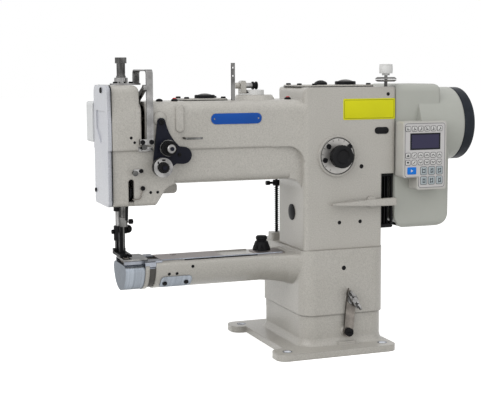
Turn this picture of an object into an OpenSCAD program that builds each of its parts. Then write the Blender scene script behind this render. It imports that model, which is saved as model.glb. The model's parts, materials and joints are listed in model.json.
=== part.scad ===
// Cylinder-bed leather sewing machine with compound feed and a direct-drive motor.
// Frame: origin at the centre of the base bolt pattern, on the underside.
// +X runs along the arm towards the handwheel, +Y to the back, +Z up. Millimetres.

/* [Base] */
// Bolt spacing along the arm
bolt_x = 160; // [150:1:175]
// Bolt spacing front to back
bolt_y = 200; // [192:1:220]
// Diameter of the base bolt holes
bolt_d = 11; // [8:0.5:13]
// Thickness of the foot plate
plate_t = 10; // [8:0.5:14]
// Foot plate edge beyond the bolt centres
plate_edge = 21; // [18:1:26]
// Height of the plinth above the foot plate
plinth_h = 47; // [42:1:60]
// Wall of the plinth
base_wall = 9; // [6:0.5:12]

/* [Column] */
// Distance of the column's left face from the bolt centre
col_left = 45; // [40:1:50]
// Width of the upper column
col_w = 129; // [124:1:134]
// Depth of the upper column
col_d = 106; // [102:1:110]
// Distance of the column's front face from the bolt centre
col_front = 84; // [80:1:86]
// Height of the lower column
low_h = 101; // [95:1:115]
// Depth of the lower column
low_d = 178; // [170:1:182]
// Step of the lower column beyond the upper one
low_step = 4; // [3:0.5:7]
// Width of the overhang that carries the motor
over_w = 25; // [20:1:32]
// Height of the overhang's underside above the arm's underside
over_up = 4; // [2:1:12]
// Height of the column above the arm
col_rise = 18; // [14:1:24]

/* [Arm and head] */
// Reach from the needle to the column
throat = 268; // [250:1:300]
// Clear height between the bed and the arm
arm_clear = 110; // [104:1:130]
// Height of the arm
arm_h = 120; // [116:1:130]
// Depth of the arm
arm_d = 90; // [86:1:96]
// Depth of the recess along the lower half of the arm
arm_recess = 3.5; // [2:0.5:5]
// Wall of the castings
wall = 5.5; // [4.5:0.5:7]
// Head casting left of the needle
head_left = 26; // [24:1:32]
// Head casting right of the needle
head_right = 39; // [38:1:46]
// Taper of the head's sides towards its top
head_taper = 4; // [2:0.5:6]
// Head below the arm's underside
head_drop = 30; // [26:1:36]
// Head above the arm
head_rise = 24; // [20:1:28]
// Thickness of the face plate
face_t = 5.5; // [4:0.5:8]

/* [Cylinder bed] */
// Width of the cylinder bed
cyl_w = 73; // [70:1:80]
// Height of the bed's stitching surface above its underside
cyl_h = 48.4; // [46:0.2:54]
// Length of the end cap
cap_len = 29; // [26:0.5:33]
// Wall of the end cap
cap_wall = 2.5; // [2:0.25:3]
// Thickness of the needle plate
plate_steel = 3; // [2.5:0.25:3.5]

/* [Drive] */
// Diameter of the main shaft
shaft_d = 16; // [14:0.5:18]
// Height of the main shaft above the arm's underside
shaft_up = 77; // [74:1:80]
// Diameter of the lower shaft
lower_d = 11; // [9:0.5:12]
// Depth of the lower shaft below the stitching surface
lower_down = 28.4; // [27.8:0.2:29]
// Pitch radius of the lower sprocket, the upper one is twice as large
sprocket_r = 13; // [11:0.5:15]
// Width of the timing belt
belt_w = 12; // [9:1:16]
// Radius of the hook
hook_r = 15; // [14:0.25:15.5]

/* [Needle and feet] */
// Diameter of the needle bar
needle_bar_d = 8; // [7:0.25:9]
// Stroke of the needle bar
stroke = 34; // [30:1:36]
// Diameter of the presser bar
presser_d = 9; // [8:0.25:9.5]
// Distance of the presser bar from the head's back wall
presser_wall = 6; // [5.5:0.25:7]

/* [Motor and panel] */
// Diameter of the motor drum
drum_d = 117; // [110:1:122]
// Length of the motor housing box
box_l = 96; // [90:1:104]
// Length of the drum beyond the upper box
drum_l = 40; // [34:1:48]
// Drop of the box below the overhang's underside
box_drop = 88; // [80:1:96]
// Width of the handwheel
wheel_w = 20; // [16:1:26]
// Width of the control panel
panel_w = 76; // [72:1:80]
// Height of the control panel
panel_h = 106; // [100:1:112]
// Thickness of the control panel
panel_t = 26; // [22:1:30]

/* [Controls] */
// Diameter of the stitch dial plate
dial_d = 56; // [50:1:60]
// Diameter of the stitch dial knob
dial_knob_d = 35; // [32:1:42]
// Length of the reverse lever left of its pivot
lever_len = 70; // [60:1:80]
// Length of the latch strap between its screws
latch_len = 52; // [48:1:56]
// Width of the latch strap
latch_w = 15; // [13:0.5:18]

/* [Lift spring] */
// Number of curls
curls = 22; // [18:1:24]
// Wire diameter
wire_d = 1.5; // [1.2:0.1:1.7]
// Mean radius of the coil
coil_r = 3.1; // [3:0.1:3.6]
// Free height of the coil
coil_h = 76; // [70:1:80]
// Diameter of the lift rod
rod_d = 4; // [3:0.25:4]

/* [Fits] */
// Radial clearance of a running fit
run_fit = 0.05; // [0.02:0.01:0.09]
// Open gap between pieces that move past each other
gap = 0.5; // [0.4:0.05:0.8]

/* [Hidden] */
$fn = 64;

// Heights
seam_gap = 0.4;
seam_z = plate_t + plinth_h;
low_z0 = seam_z + seam_gap;
bed_z = low_z0 + low_h;
arm_z0 = bed_z + arm_clear;
arm_z1 = arm_z0 + arm_h;
col_z1 = arm_z1 + col_rise;
over_z0 = arm_z0 + over_up;
head_z0 = arm_z0 - head_drop;
head_z1 = arm_z1 + head_rise;
shaft_z = arm_z0 + shaft_up;
lower_z = bed_z - lower_down;
cyl_z0 = bed_z - cyl_h;

// Places along the arm
col_x0 = -col_left;
col_x1 = col_x0 + col_w;
over_x1 = col_x1 + over_w;
needle_x = col_x0 - throat;
head_x0 = needle_x - head_left;
neck_x = needle_x + head_right;
low_x0 = col_x0 - low_step;
low_x1 = col_x1 + 2 * low_step;

// Places front to back
col_y0 = -col_front;
col_y1 = col_y0 + col_d;
axis_y = (col_y0 + col_y1) / 2;
low_y0 = col_y0 - low_step;
low_y1 = low_y0 + low_d;
arm_y0 = axis_y - arm_d / 2;
arm_y1 = axis_y + arm_d / 2;
cyl_r = cyl_w / 2;

// Extrudes a shape drawn in y and z from x0 to x1
module along_x(x0, x1) {
    translate([x0, 0, 0])
        rotate([90, 0, 90])
            linear_extrude(x1 - x0)
                children();
}

// Extrudes a shape drawn in x and z from y0 to y1
module along_y(y0, y1) {
    translate([0, y1, 0])
        rotate([90, 0, 0])
            linear_extrude(y1 - y0)
                children();
}

// Extrudes a shape drawn in x and y from z0 to z1
module along_z(z0, z1) {
    translate([0, 0, z0])
        linear_extrude(z1 - z0)
            children();
}

// Round rods along the three axes
module rod_x(x0, x1, y, z, r) {
    translate([x0, y, z])
        rotate([0, 90, 0])
            cylinder(h = x1 - x0, r = r);
}

module rod_y(y0, y1, x, z, r) {
    translate([x, y0, z])
        rotate([-90, 0, 0])
            cylinder(h = y1 - y0, r = r);
}

module rod_z(z0, z1, x, y, r) {
    translate([x, y, z0])
        cylinder(h = z1 - z0, r = r);
}

// Box between two corners
module box(a, b) {
    translate(a)
        cube(b - a);
}

// Puts a turned shape's axis along +X, or out of the front
module facing_right(x, y, z) {
    translate([x, y, z])
        rotate([0, 90, 0])
            children();
}

module facing_front(x, y, z) {
    translate([x, y, z])
        rotate([90, 0, 0])
            children();
}

// Rectangle between two corners with its own bottom and top corner radii
module rounded(x0, y0, x1, y1, rb, rt) {
    translate([x0, y0 + rb])
        square([x1 - x0, y1 - y0 - rb - rt]);
    translate([x0 + rb, y0])
        square([x1 - x0 - 2 * rb, rb]);
    translate([x0 + rt, y1 - rt])
        square([x1 - x0 - 2 * rt, rt]);
    for (x = [x0 + rb, x1 - rb])
        translate([x, y0 + rb])
            circle(rb);
    for (x = [x0 + rt, x1 - rt])
        translate([x, y1 - rt])
            circle(rt);
}

// Ring of copies round the local z axis
module ring_of(count, r) {
    for (i = [0:count - 1])
        rotate(i * 360 / count)
            translate([r, 0, 0])
                children();
}

// Domed cap of radius r and height h with a straight rim
module dome(r, h, rim) {
    cylinder(h = rim, r = r);
    ball = (r * r + (h - rim) * (h - rim)) / (2 * (h - rim));
    translate([0, 0, rim])
        intersection() {
            translate([0, 0, h - rim - ball])
                sphere(ball);
            cylinder(h = h, r = r - 0.3);
        }
}

// Base, hinge and latch

inset = 2;
corner_r = 22;
plate_x0 = -bolt_x / 2 - plate_edge;
plate_x1 = max(bolt_x / 2 + plate_edge - 4, low_x1 + 5);
plate_y = bolt_y / 2 + plate_edge;
waist = 22;
hinge_x = (low_x0 + low_x1) / 2;
hinge_half = 40;
hinge_y = low_y1 + 10;
hinge_z = seam_z + 25;
lug_r = 8;
lug_w = 14;
pin_r = 4;
latch_x = 25;
latch_z = plate_t + 20;
latch_lean = 6;
strap_t = 3.5;
swing_out = norm([hinge_y - low_y0, hinge_z - low_z0]) - (hinge_y - low_y0);
strap_back = low_y0 - swing_out - gap;
boss_y = strap_back + 0.4;
strap_front = strap_back - strap_t;
latch_screw_r = 3;
wing_r = 3;
seat_r = wing_r + 1;
wing_x = latch_x + latch_len * sin(latch_lean);
wing_z = latch_z + latch_len * cos(latch_lean);

module column_plan(o, r) {
    rounded(low_x0 - o, low_y0 - o, low_x1 + o, low_y1 + o, r, r);
}

module plate_outline() {
    for (s = [-1, 1])
        mirror([0, s > 0 ? 1 : 0])
            rounded(plate_x0, -plate_y, plate_x1, -plate_y + 2 * plate_edge, 15, 15);
    translate([plate_x0 + waist, -plate_y + plate_edge])
        square([plate_x1 - plate_x0 - waist, 2 * (plate_y - plate_edge)]);
}

// Cove between the foot plate and the plinth, in three steps of slope
module plinth_cove() {
    out = [6, 3, 1.2, 0];
    up = [0, 2.5, 6, 11];
    for (i = [0:2])
        hull() {
            for (k = [i, i + 1])
                translate([0, 0, plate_t - 0.5 + up[k]])
                    linear_extrude(0.1)
                        column_plan(out[k] - inset, corner_r + out[k]);
        }
}

module base_lug_profile() {
    translate([hinge_y, hinge_z])
        circle(lug_r);
    translate([hinge_y - lug_r, seam_z - 20])
        square([2 * lug_r, hinge_z - seam_z + 20]);
    translate([low_y1 - inset - 4, seam_z - 20])
        square([hinge_y - low_y1 + inset + 4, 19.5]);
}

module base() {
    color("gainsboro")
        difference() {
            union() {
                along_z(0, plate_t)
                    plate_outline();
                along_z(plate_t - 1, seam_z)
                    column_plan(-inset, corner_r);
                plinth_cove();
                for (x = [hinge_x - hinge_half - lug_w, hinge_x + hinge_half])
                    along_x(x, x + lug_w)
                        base_lug_profile();
                rod_y(boss_y, low_y0 + inset + 4, latch_x, latch_z, 9);
                box([latch_x - 17, low_y0 - 5, plate_t - 1], [latch_x + 13, low_y0 + 6, plate_t + 5]);
            }
            along_z(-1, seam_z - base_wall)
                column_plan(-inset - base_wall, corner_r - 8);
            for (x = [-1, 1], y = [-1, 1])
                rod_z(-1, plate_t + 1, x * bolt_x / 2, y * bolt_y / 2, bolt_d / 2);
            rod_x(hinge_x - 100, hinge_x + 100, hinge_y, hinge_z, pin_r);
            rod_y(boss_y - 1, low_y0 + inset + base_wall - 1, latch_x, latch_z, latch_screw_r);
        }
}

module pivot_pins() {
    color("silver") {
        for (s = [-1, 1]) {
            x0 = hinge_x + s * (hinge_half + lug_w);
            x1 = hinge_x + s * (hinge_half - lug_w - gap);
            rod_x(min(x0, x1), max(x0, x1), hinge_y, hinge_z, pin_r);
        }
        rod_y(strap_front - 0.4, low_y0 + inset + base_wall - 1, latch_x, latch_z, latch_screw_r);
        difference() {
            rod_y(strap_front - 4.9, strap_front - 0.4, latch_x, latch_z, 6.5);
            box([latch_x - 7, strap_front - 5, latch_z - 0.7],
                [latch_x + 7, strap_front - 3.6, latch_z + 0.7]);
        }
    }
}

// Strap with a finger left of the wing screw, open above and to the right
module latch() {
    color("silver")
        translate([latch_x, 0, latch_z])
            rotate([0, latch_lean, 0])
                along_y(strap_front, strap_back)
                    difference() {
                        union() {
                            circle(latch_w / 2 + 1);
                            polygon([[-latch_w / 2, 0], [latch_w / 2, 0], [latch_w / 2, latch_len - seat_r],
                                [-seat_r, latch_len - seat_r], [-seat_r, latch_len + 9],
                                [-seat_r - 2.5, latch_len + 16], [-latch_w / 2 - 1, latch_len + 9]]);
                        }
                        circle(latch_screw_r + run_fit);
                        translate([0, latch_len])
                            circle(seat_r);
                    }
}

module wing_screw() {
    y0 = strap_front - 1.3;
    color("silver") {
        rod_y(y0 - 10, low_y0 + 7, wing_x, wing_z, wing_r);
        rod_y(y0 - 1.6, y0, wing_x, wing_z, 8);
        rod_y(y0 - 9, y0 - 1.6, wing_x, wing_z, 5.5);
        translate([wing_x, 0, wing_z])
            rotate([0, 58, 0])
                along_y(y0 - 8, y0 - 4.5)
                    for (s = [0, 1])
                        rotate(s * 180) {
                            polygon([[3, -4.5], [12, -4], [12, 4], [3, 4.5]]);
                            translate([12, 0])
                                circle(4);
                        }
    }
}

// Lower column with the cylinder bed

cap_x0 = needle_x - 7;
cap_x1 = cap_x0 + cap_len;
ring_x0 = cap_x1 + gap;
ring_x1 = ring_x0 + 6.5;
cast_x0 = ring_x1 + 10;
bed_mid_z = cyl_z0 + cyl_r;
deck_z = bed_z - 5.4;
cap_top = bed_z - 8.4;
low_wall = wall + 2.5;
bush_wall = 3.5;
rock_r = 3.5;
rock_y = axis_y + 13;
rock_z = lower_z - 4;
rod_x0 = col_x0 + 8.5;
rod_y0 = col_y1 + 28;
guide_h = 12;
guide_z = bed_z + guide_h;
slot_half = 17;
bulk_w = 12;
slide_x0 = cast_x0 + 10 + gap;
slide_l = 98;
slide_travel = 55;
slide_t = 2.5;
slide_half = 24;

// Section of the bed: half round below, straight sides, inset by o, cut off at top
module bed_section(o, top, r) {
    intersection() {
        union() {
            translate([axis_y, bed_mid_z])
                circle(cyl_r - o);
            translate([axis_y - cyl_r + o, bed_mid_z])
                square([cyl_w - 2 * o, cyl_h]);
        }
        rounded(axis_y - cyl_r + o, cyl_z0 - cyl_r, axis_y + cyl_r - o, top, 0.5, r);
    }
}

// The bed swells in three steps into the column's side
module bed_root() {
    back = [56, 34, 14, -7];
    swell = [-0.4, 1.6, 5, 12];
    for (i = [0:2])
        hull() {
            for (k = [i, i + 1])
                along_x(low_x0 - back[k], low_x0 - back[k] + 0.1)
                    bed_section(-swell[k], deck_z - 0.3, 5);
        }
}

module knuckle_profile() {
    translate([hinge_y, hinge_z])
        circle(lug_r);
    translate([low_y1 - 4, hinge_z - lug_r + 1])
        square([hinge_y - low_y1 + 4, 2 * lug_r - 2]);
}

module bed_casting() {
    color("gainsboro")
        difference() {
            union() {
                along_z(low_z0, bed_z)
                    column_plan(0, corner_r);
                along_x(cast_x0, low_x0 + 6)
                    bed_section(0, deck_z, 5);
                bed_root();
                for (x = [hinge_x - hinge_half + gap, hinge_x + hinge_half - gap - lug_w])
                    along_x(x, x + lug_w)
                        knuckle_profile();
                along_z(bed_z - 1, guide_z)
                    rounded(low_x0 + 1, rod_y0 - 10, rod_x0 + 11, rod_y0 + 10, 4, 4);
                rod_y(boss_y, low_y0 + 4, wing_x, wing_z, 8);
                for (s = [-1, 1])
                    along_x(slide_x0, slide_x0 + slide_l + slide_travel)
                        translate([axis_y + s * (slide_half + gap + 1.5) - 1.5, deck_z - 1])
                            square([3, 2.6]);
            }
            along_z(low_z0 - 1, bed_z - 9)
                column_plan(-low_wall, corner_r - low_wall + 1);
            along_z(bed_z - 10, bed_z + 1)
                rounded(col_x0 + wall, col_y0 + wall, col_x1 - wall, col_y1 - wall, 6, 6);
            along_x(cast_x0 + bulk_w, low_x0 - bulk_w)
                bed_section(wall, deck_z - wall, 3);
            box([cast_x0 - 1, axis_y - slot_half, bed_z - 12],
                [slide_x0 + slide_l - 10, axis_y + slot_half, bed_z + 1]);
            rod_x(cast_x0 - 1, low_x0 + low_wall + 1, axis_y, lower_z, lower_d / 2 + bush_wall);
            rod_x(cast_x0 - 1, low_x0 + low_wall + 1, rock_y, rock_z, rock_r + run_fit);
            rod_z(bed_z - 12, guide_z + 1, rod_x0, rod_y0, rod_d / 2 + run_fit);
            rod_y(boss_y - 1, low_y0 + low_wall + 1, wing_x, wing_z, wing_r + run_fit);
            rod_x(hinge_x - 100, hinge_x + 100, hinge_y, hinge_z, pin_r + run_fit);
        }
}

feed_half = 16;
feed_swing = 4.5;
nose_step = 2.5;

// Steel carrier of the needle plate, with the ring that the end cap closes on
module hook_carrier() {
    finger_x = needle_x - 0.5;
    arm_mid = feed_half + feed_swing + gap + 2.5;
    color("darkgray")
        difference() {
            union() {
                along_x(ring_x0, ring_x1)
                    bed_section(0, deck_z, 5);
                along_x(ring_x1 - 1, cast_x0)
                    bed_section(nose_step, bed_z - 10, 5);
                along_x(ring_x0, cast_x0)
                    intersection() {
                        bed_section(0, bed_z - plate_steel, 5);
                        translate([axis_y - cyl_r, bed_z - 11])
                            square([cyl_w, 20]);
                    }
                along_x(cast_x0 - 1, slide_x0 - gap)
                    translate([axis_y - cyl_r + 3, deck_z])
                        square([cyl_w - 6, bed_z - plate_steel - deck_z]);
                for (s = [-1, 1])
                    box([needle_x - 6, axis_y + s * arm_mid - 2.5, cap_top + gap],
                        [ring_x1, axis_y + s * arm_mid + 2.5, bed_z - plate_steel]);
                box([finger_x, axis_y - 20, lower_z - 2.5], [ring_x0 + 1, axis_y - 16.5, lower_z + 2.5]);
                box([finger_x, axis_y - 20, lower_z - 2.5], [needle_x + 1.4, axis_y - 8.5, lower_z + 2.5]);
            }
            rod_x(ring_x0 - 1, cast_x0 + 1, axis_y, lower_z, 12);
            box([ring_x0 - 1, axis_y - slot_half + 3, cap_top - 3],
                [slide_x0, axis_y + slot_half - 3, bed_z + 1]);
        }
}

module needle_plate() {
    color("silver")
        difference() {
            along_z(bed_z - plate_steel, bed_z)
                rounded(needle_x - 6, axis_y - 24, ring_x1 + 1, axis_y + 24, 2, 2);
            box([needle_x - 3.4, axis_y - feed_half - feed_swing - gap, bed_z - 9],
                [needle_x + 3.4, axis_y + feed_half + feed_swing + gap, bed_z + 1]);
        }
}

module slide_plate() {
    color("rosybrown")
        difference() {
            along_z(deck_z, deck_z + slide_t)
                rounded(slide_x0, axis_y - slide_half, slide_x0 + slide_l, axis_y + slide_half, 2, 2);
            rod_z(deck_z - 1, bed_z, slide_x0 + 30, axis_y + 12, 5);
        }
}

module end_cap() {
    color("lightsteelblue")
        difference() {
            along_x(cap_x0, cap_x1)
                bed_section(0, cap_top, 11);
            along_x(cap_x0 + cap_wall, cap_x1 + 1)
                bed_section(cap_wall, cap_top - cap_wall, 9);
            box([needle_x - 2.6, axis_y - 9, cap_top - cap_wall - 1],
                [needle_x + 2.6, axis_y + 9, cap_top + 1]);
        }
}

// Plate rolled to the bed's front, with rounded corners
module bed_side_cover() {
    x0 = cast_x0 + 8;
    color("gainsboro")
        intersection() {
            along_x(x0, x0 + 48)
                difference() {
                    translate([axis_y, bed_mid_z])
                        circle(cyl_r + 1.6);
                    translate([axis_y, bed_mid_z])
                        circle(cyl_r);
                }
            along_y(axis_y - cyl_r - 3, axis_y - 11)
                rounded(x0, cyl_z0 + 3, x0 + 48, cyl_z0 + 21, 5, 6);
        }
}

// Upper column, arm and head in one hollow casting

bulk1_x = neck_x + 11;
neck_reach = 28;
root_fillet = 20;
dial_x = col_x0 + 53;
dial_z = shaft_z - 43;
dial_shaft_r = 6;
rev_x = col_x1 - 18;
rev_z = bed_z + 71;
plug_y = axis_y - 4;
plug_z = bed_z + 55;
plug_r = 12.5;
take_z = arm_z1 - wall - 9.5;
take_x0 = needle_x + 18;
take_x1 = take_x0 + 5;
crown_x1 = take_x0 - 3;
stud_r = 4;
rock_pivot_z = head_z1 - 45;
lifter_x = needle_x + 27;
lifter_z = arm_z0 - 6;
guide2_z0 = arm_z0 + 32;
guide2_z1 = guide2_z0 + 14;
screw_r = 5;
inner_back = 12.5;
inner_r = 3;
arm_top_r = 17;
head_top_r = 12;
ledge_z = arm_z0 + 50;
ledge_r = 3;
brow_z = ledge_z + 42;
recess_r = 24;
recess_y0 = arm_y0 + arm_recess;
recess_y1 = arm_y1 - arm_recess;
take_y = recess_y1 - wall - 9;
presser_y = recess_y1 - wall - presser_wall;
flare_x0 = col_x0 - 52;
flare_x1 = col_x0 + 7;
slot_r = 4.3;
slot_x = needle_x + 2;
slot_z = arm_z0 + 5;
win_x = col_x0 - 60;
pad_z = arm_z1 + 7;
rib_x = needle_x + 74;

module column_profile() {
    rounded(col_x0, bed_z, col_x1, col_z1, 1, 8);
    rounded(col_x1 - 30, over_z0, over_x1, col_z1, 4, 8);
}

// Upper half of the arm from z0 up, wider by o on both sides
module brow_section(z0, o) {
    rounded(arm_y0 - o, z0, arm_y1 + o, arm_z1, ledge_r, arm_top_r);
}

module arm_section() {
    brow_section(ledge_z, 0);
    rounded(recess_y0, arm_z0, recess_y1, ledge_z + 20, 12, 2);
}

module arm_hollow() {
    rounded(recess_y0 + wall, arm_z0 + wall, recess_y1 - wall, arm_z1 - wall, 7, 11);
}

// The arm's upper half swells out to the column's faces and runs down round the recess's corner
module arm_flare() {
    low_z = ledge_z - recess_r;
    swell = (col_d - arm_d) / 2;
    step = (flare_x1 - flare_x0) / 3;
    difference() {
        for (i = [0:2])
            hull() {
                for (k = [i, i + 1])
                    along_x(flare_x0 + k * step, flare_x0 + k * step + 0.1)
                        brow_section(low_z, swell * k * k / 9 - 0.2);
            }
        along_y(col_y0 - 1, col_y1 + 1) {
            translate([flare_x0 - 1, low_z - 1])
                square([col_x0 - recess_r - flare_x0 + 1, recess_r + 1]);
            translate([col_x0 - recess_r, low_z])
                circle(recess_r);
        }
    }
}

// Section of the head: recessed below the ledge, tapered above the brow
module head_section() {
    rounded(recess_y0, head_z0, recess_y1, ledge_z + 20, 6, 2);
    rounded(arm_y0, ledge_z, arm_y1, brow_z, ledge_r, 1);
    rounded(arm_y0 + head_taper, brow_z, arm_y1 - head_taper, head_z1, 1, head_top_r);
    polygon([[arm_y0, brow_z - 10], [arm_y1, brow_z - 10], [arm_y1, brow_z],
        [arm_y1 - head_taper, head_z1 - head_top_r], [arm_y0 + head_taper, head_z1 - head_top_r],
        [arm_y0, brow_z]]);
}

module head_profile() {
    translate([head_x0, head_z0])
        square([crown_x1 - head_x0 - 12, head_z1 - head_z0]);
    rounded(crown_x1 - 30, arm_z0, crown_x1, head_z1, 2, 9);
    rounded(crown_x1 - 24, head_z0, neck_x, arm_z1 - 20, 2, 2);
    polygon([[neck_x - 3, head_z0 + 0.2], [neck_x - 1, head_z0 + 0.2], [neck_x + 13, arm_z0 - 8],
        [neck_x + 19, arm_z0 - 3],
        [neck_x + neck_reach, arm_z0 + 0.5], [neck_x + neck_reach, arm_z0 + 20], [neck_x - 3, arm_z0 + 20]]);
}

// Oblong rib on the arm's front, narrower at its foot
module rib_profile() {
    top = arm_z1 - 12;
    low = arm_z1 - 42;
    translate([rib_x, top])
        circle(5.5);
    translate([rib_x + 1.5, low])
        circle(2.5);
    polygon([[rib_x - 5.5, top], [rib_x + 5.5, top], [rib_x + 4, low], [rib_x - 1, low]]);
}

module casting_outside() {
    intersection() {
        along_y(col_y0, col_y1)
            column_profile();
        along_z(bed_z, col_z1)
            rounded(col_x0, col_y0, over_x1, col_y1, 7, 7);
    }
    along_x(crown_x1 - 6, col_x0 + 4)
        arm_section();
    arm_flare();
    intersection() {
        along_y(arm_y0, arm_y1)
            head_profile();
        along_x(head_x0, neck_x + neck_reach)
            head_section();
    }
    along_y(recess_y0 + 0.3, recess_y1 - 0.3)
        difference() {
            translate([col_x0 - root_fillet, arm_z0 - root_fillet])
                square([root_fillet + 1, root_fillet + 13]);
            translate([col_x0 - root_fillet + 0.5, arm_z0 - root_fillet + 0.5])
                circle(root_fillet);
        }
    rod_y(col_y0 - 4, col_y0 + 1, dial_x, dial_z, dial_d / 2 + 3.5);
    rod_y(recess_y1 - 1, arm_y1 + gap, lifter_x, lifter_z, 9);
    along_z(guide2_z0, guide2_z1)
        rounded(rod_x0 - 7, col_y1 - 3, rod_x0 + 9, rod_y0 + 8, 3, 3);
    along_y(arm_y0 - 2.5, arm_y0 + 8)
        rib_profile();
    translate([win_x - 1, axis_y, arm_z1 - 5])
        cylinder(h = pad_z - arm_z1 + 5, r1 = 35, r2 = 27);
}

module casting_hollows() {
    along_z(bed_z - 1, col_z1 - wall)
        rounded(col_x0 + wall, col_y0 + wall, col_x1 - wall, col_y1 - wall, 4, 4);
    along_y(col_y0 + wall, col_y1 - wall)
        rounded(col_x1 - wall - 9, over_z0 + wall, over_x1 - wall, col_z1 - wall, 2, 4);
    along_x(bulk1_x + bulk_w, col_x0)
        arm_hollow();
    along_x(head_x0 - 1, crown_x1 - wall)
        rounded(recess_y0 + wall, head_z0 + wall, recess_y1 - wall, head_z1 - wall, 3, 6);
    along_x(crown_x1 - wall - 1, neck_x - wall)
        rounded(recess_y0 + wall, head_z0 + wall, recess_y1 - wall, arm_z1 - wall, 3, 11);
    along_x(neck_x - wall - 1, bulk1_x)
        arm_hollow();
}

module casting_bosses() {
    rod_x(col_x0 + 1, col_x0 + bulk_w, axis_y, shaft_z, shaft_d / 2 + 12);
    box([needle_x + 10, axis_y - 8, rock_pivot_z - 9], [crown_x1 - 0.4, axis_y + 8, arm_z1 - 1]);
    box([take_x1 + gap, take_y - 10, take_z - 9], [take_x1 + 11, arm_y1 - wall + 1, arm_z1 - wall + 1]);
    box([needle_x - 8, presser_y - 7, rock_pivot_z],
        [needle_x + 8, arm_y1 - wall + 1, rock_pivot_z + 12]);
}

module casting_bores() {
    rod_x(bulk1_x - 1, col_x0 + bulk_w + 1, axis_y, shaft_z, shaft_d / 2 + bush_wall);
    rod_x(over_x1 - wall - 1, over_x1 + 1, axis_y, shaft_z, 30);
    rod_x(needle_x + 9, needle_x + 18, axis_y, rock_pivot_z, stud_r + run_fit);
    rod_x(take_x1, take_x1 + 12, take_y, take_z, stud_r + run_fit);
    rod_z(head_z0 - 1, head_z1 - 19, needle_x, presser_y, presser_d / 2 + run_fit);
    rod_z(head_z1 - wall - 1, head_z1 + 1, needle_x, axis_y, screw_r + run_fit);
    box([needle_x - 7, axis_y - 13, head_z0 - 1], [needle_x + 7, axis_y + 20, head_z0 + wall + 1]);
    box([take_x0 - 1, arm_y0 - 1, take_z - 44], [take_x1 + 1, recess_y0 + wall + 1, arm_z1 + 1]);
    box([take_x0 - 1, arm_y0 - 1, arm_z1 - wall - 12], [take_x1 + 1, take_y - 2, arm_z1 + 1]);
    rod_y(arm_y0 - 1, recess_y0 + wall + 1, slot_x, slot_z, slot_r);
    box([slot_x - slot_r, arm_y0 - 1, head_z0 - 1], [slot_x + slot_r, recess_y0 + wall + 1, slot_z]);
    rod_y(recess_y1 - wall - 1, arm_y1 + 2, lifter_x, lifter_z, stud_r + run_fit);
    rod_z(guide2_z0 - 1, guide2_z1 + 1, rod_x0, rod_y0, rod_d / 2 + run_fit);
    rod_y(col_y0 - 5, col_y0, dial_x, dial_z, dial_d / 2 + 0.2);
    rod_y(col_y0 - 1, col_y0 + wall + 1, dial_x, dial_z, dial_shaft_r + run_fit);
    rod_y(col_y0 - 1, col_y0 + wall + 1, rev_x, rev_z, dial_shaft_r + run_fit);
    rod_x(col_x0 - 1, col_x0 + wall + 1, plug_y, plug_z, plug_r - 2.5);
    box([cover_x0 + 8, axis_y - 15, arm_z1 - wall - 1], [cover_x0 + cover_l - 9, axis_y + 15, arm_z1 + 1]);
    box([col_x0 + 20, col_y0 + 26, col_z1 - wall - 1], [col_x1 - 16, col_y1 - 20, col_z1 + 1]);
}

module arm_casting() {
    color("gainsboro")
        difference() {
            union() {
                difference() {
                    casting_outside();
                    casting_hollows();
                }
                casting_bosses();
            }
            casting_bores();
        }
}

// Covers

cover_x0 = needle_x + 87;
cover_t = 3;
cover_l = 69;
sight_r = 15;
sight_h = 7;
sight_rim = 3;
knob_r = 14;
rear_d = 46;

module face_plate() {
    z1 = shaft_z + 30;
    color("lightsteelblue")
        difference() {
            along_x(head_x0 - face_t, head_x0)
                head_section();
            along_x(head_x0 - face_t - 1, head_x0 - face_t + 1.8)
                polygon([[axis_y - 27, z1], [axis_y + 27, z1], [axis_y + 27, z1 - 26],
                    [axis_y, z1 - 48], [axis_y - 27, z1 - 26]]);
        }
}

module rear_cover() {
    x0 = head_x0 - face_t - 1.5;
    x1 = needle_x + 20;
    z0 = shaft_z - 19;
    z1 = shaft_z + 42;
    color("ivory")
        difference() {
            intersection() {
                along_y(arm_y1, arm_y1 + rear_d)
                    rounded(x0, z0, x1, z1, 5, 5);
                along_z(z0, z1)
                    rounded(x0, arm_y1 - 20, x1, arm_y1 + rear_d, 5, 7);
            }
            along_y(arm_y1 - 1, arm_y1 + rear_d - 2.5)
                rounded(x0 + 2.5, z0 + 2.5, x1 - 2.5, z1 - 2.5, 3, 3);
        }
}

module arm_top_cover() {
    color("gainsboro")
        along_z(arm_z1, arm_z1 + cover_t)
            rounded(cover_x0, axis_y - 27, cover_x0 + cover_l, axis_y + 27, 6, 6);
}

module column_top_cover() {
    color("gainsboro")
        along_z(col_z1, col_z1 + cover_t)
            difference() {
                rounded(col_x0 + 3, col_y0 + 14, col_x1 - 6, col_y1 - 12, 6, 6);
                translate([col_x0 + 3, col_y0 + 14])
                    rotate(45)
                        square(18, center = true);
            }
}

// Pressed caps, plugs and bushes

module oil_caps() {
    color("silver") {
        translate([cover_x0 + cover_l / 2 + 6.5, axis_y, arm_z1 + cover_t])
            dome(sight_r, sight_h, sight_rim);
        translate([col_x0 + 92, axis_y, col_z1 + cover_t])
            dome(sight_r + 1, sight_h + 1, sight_rim);
    }
}

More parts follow.
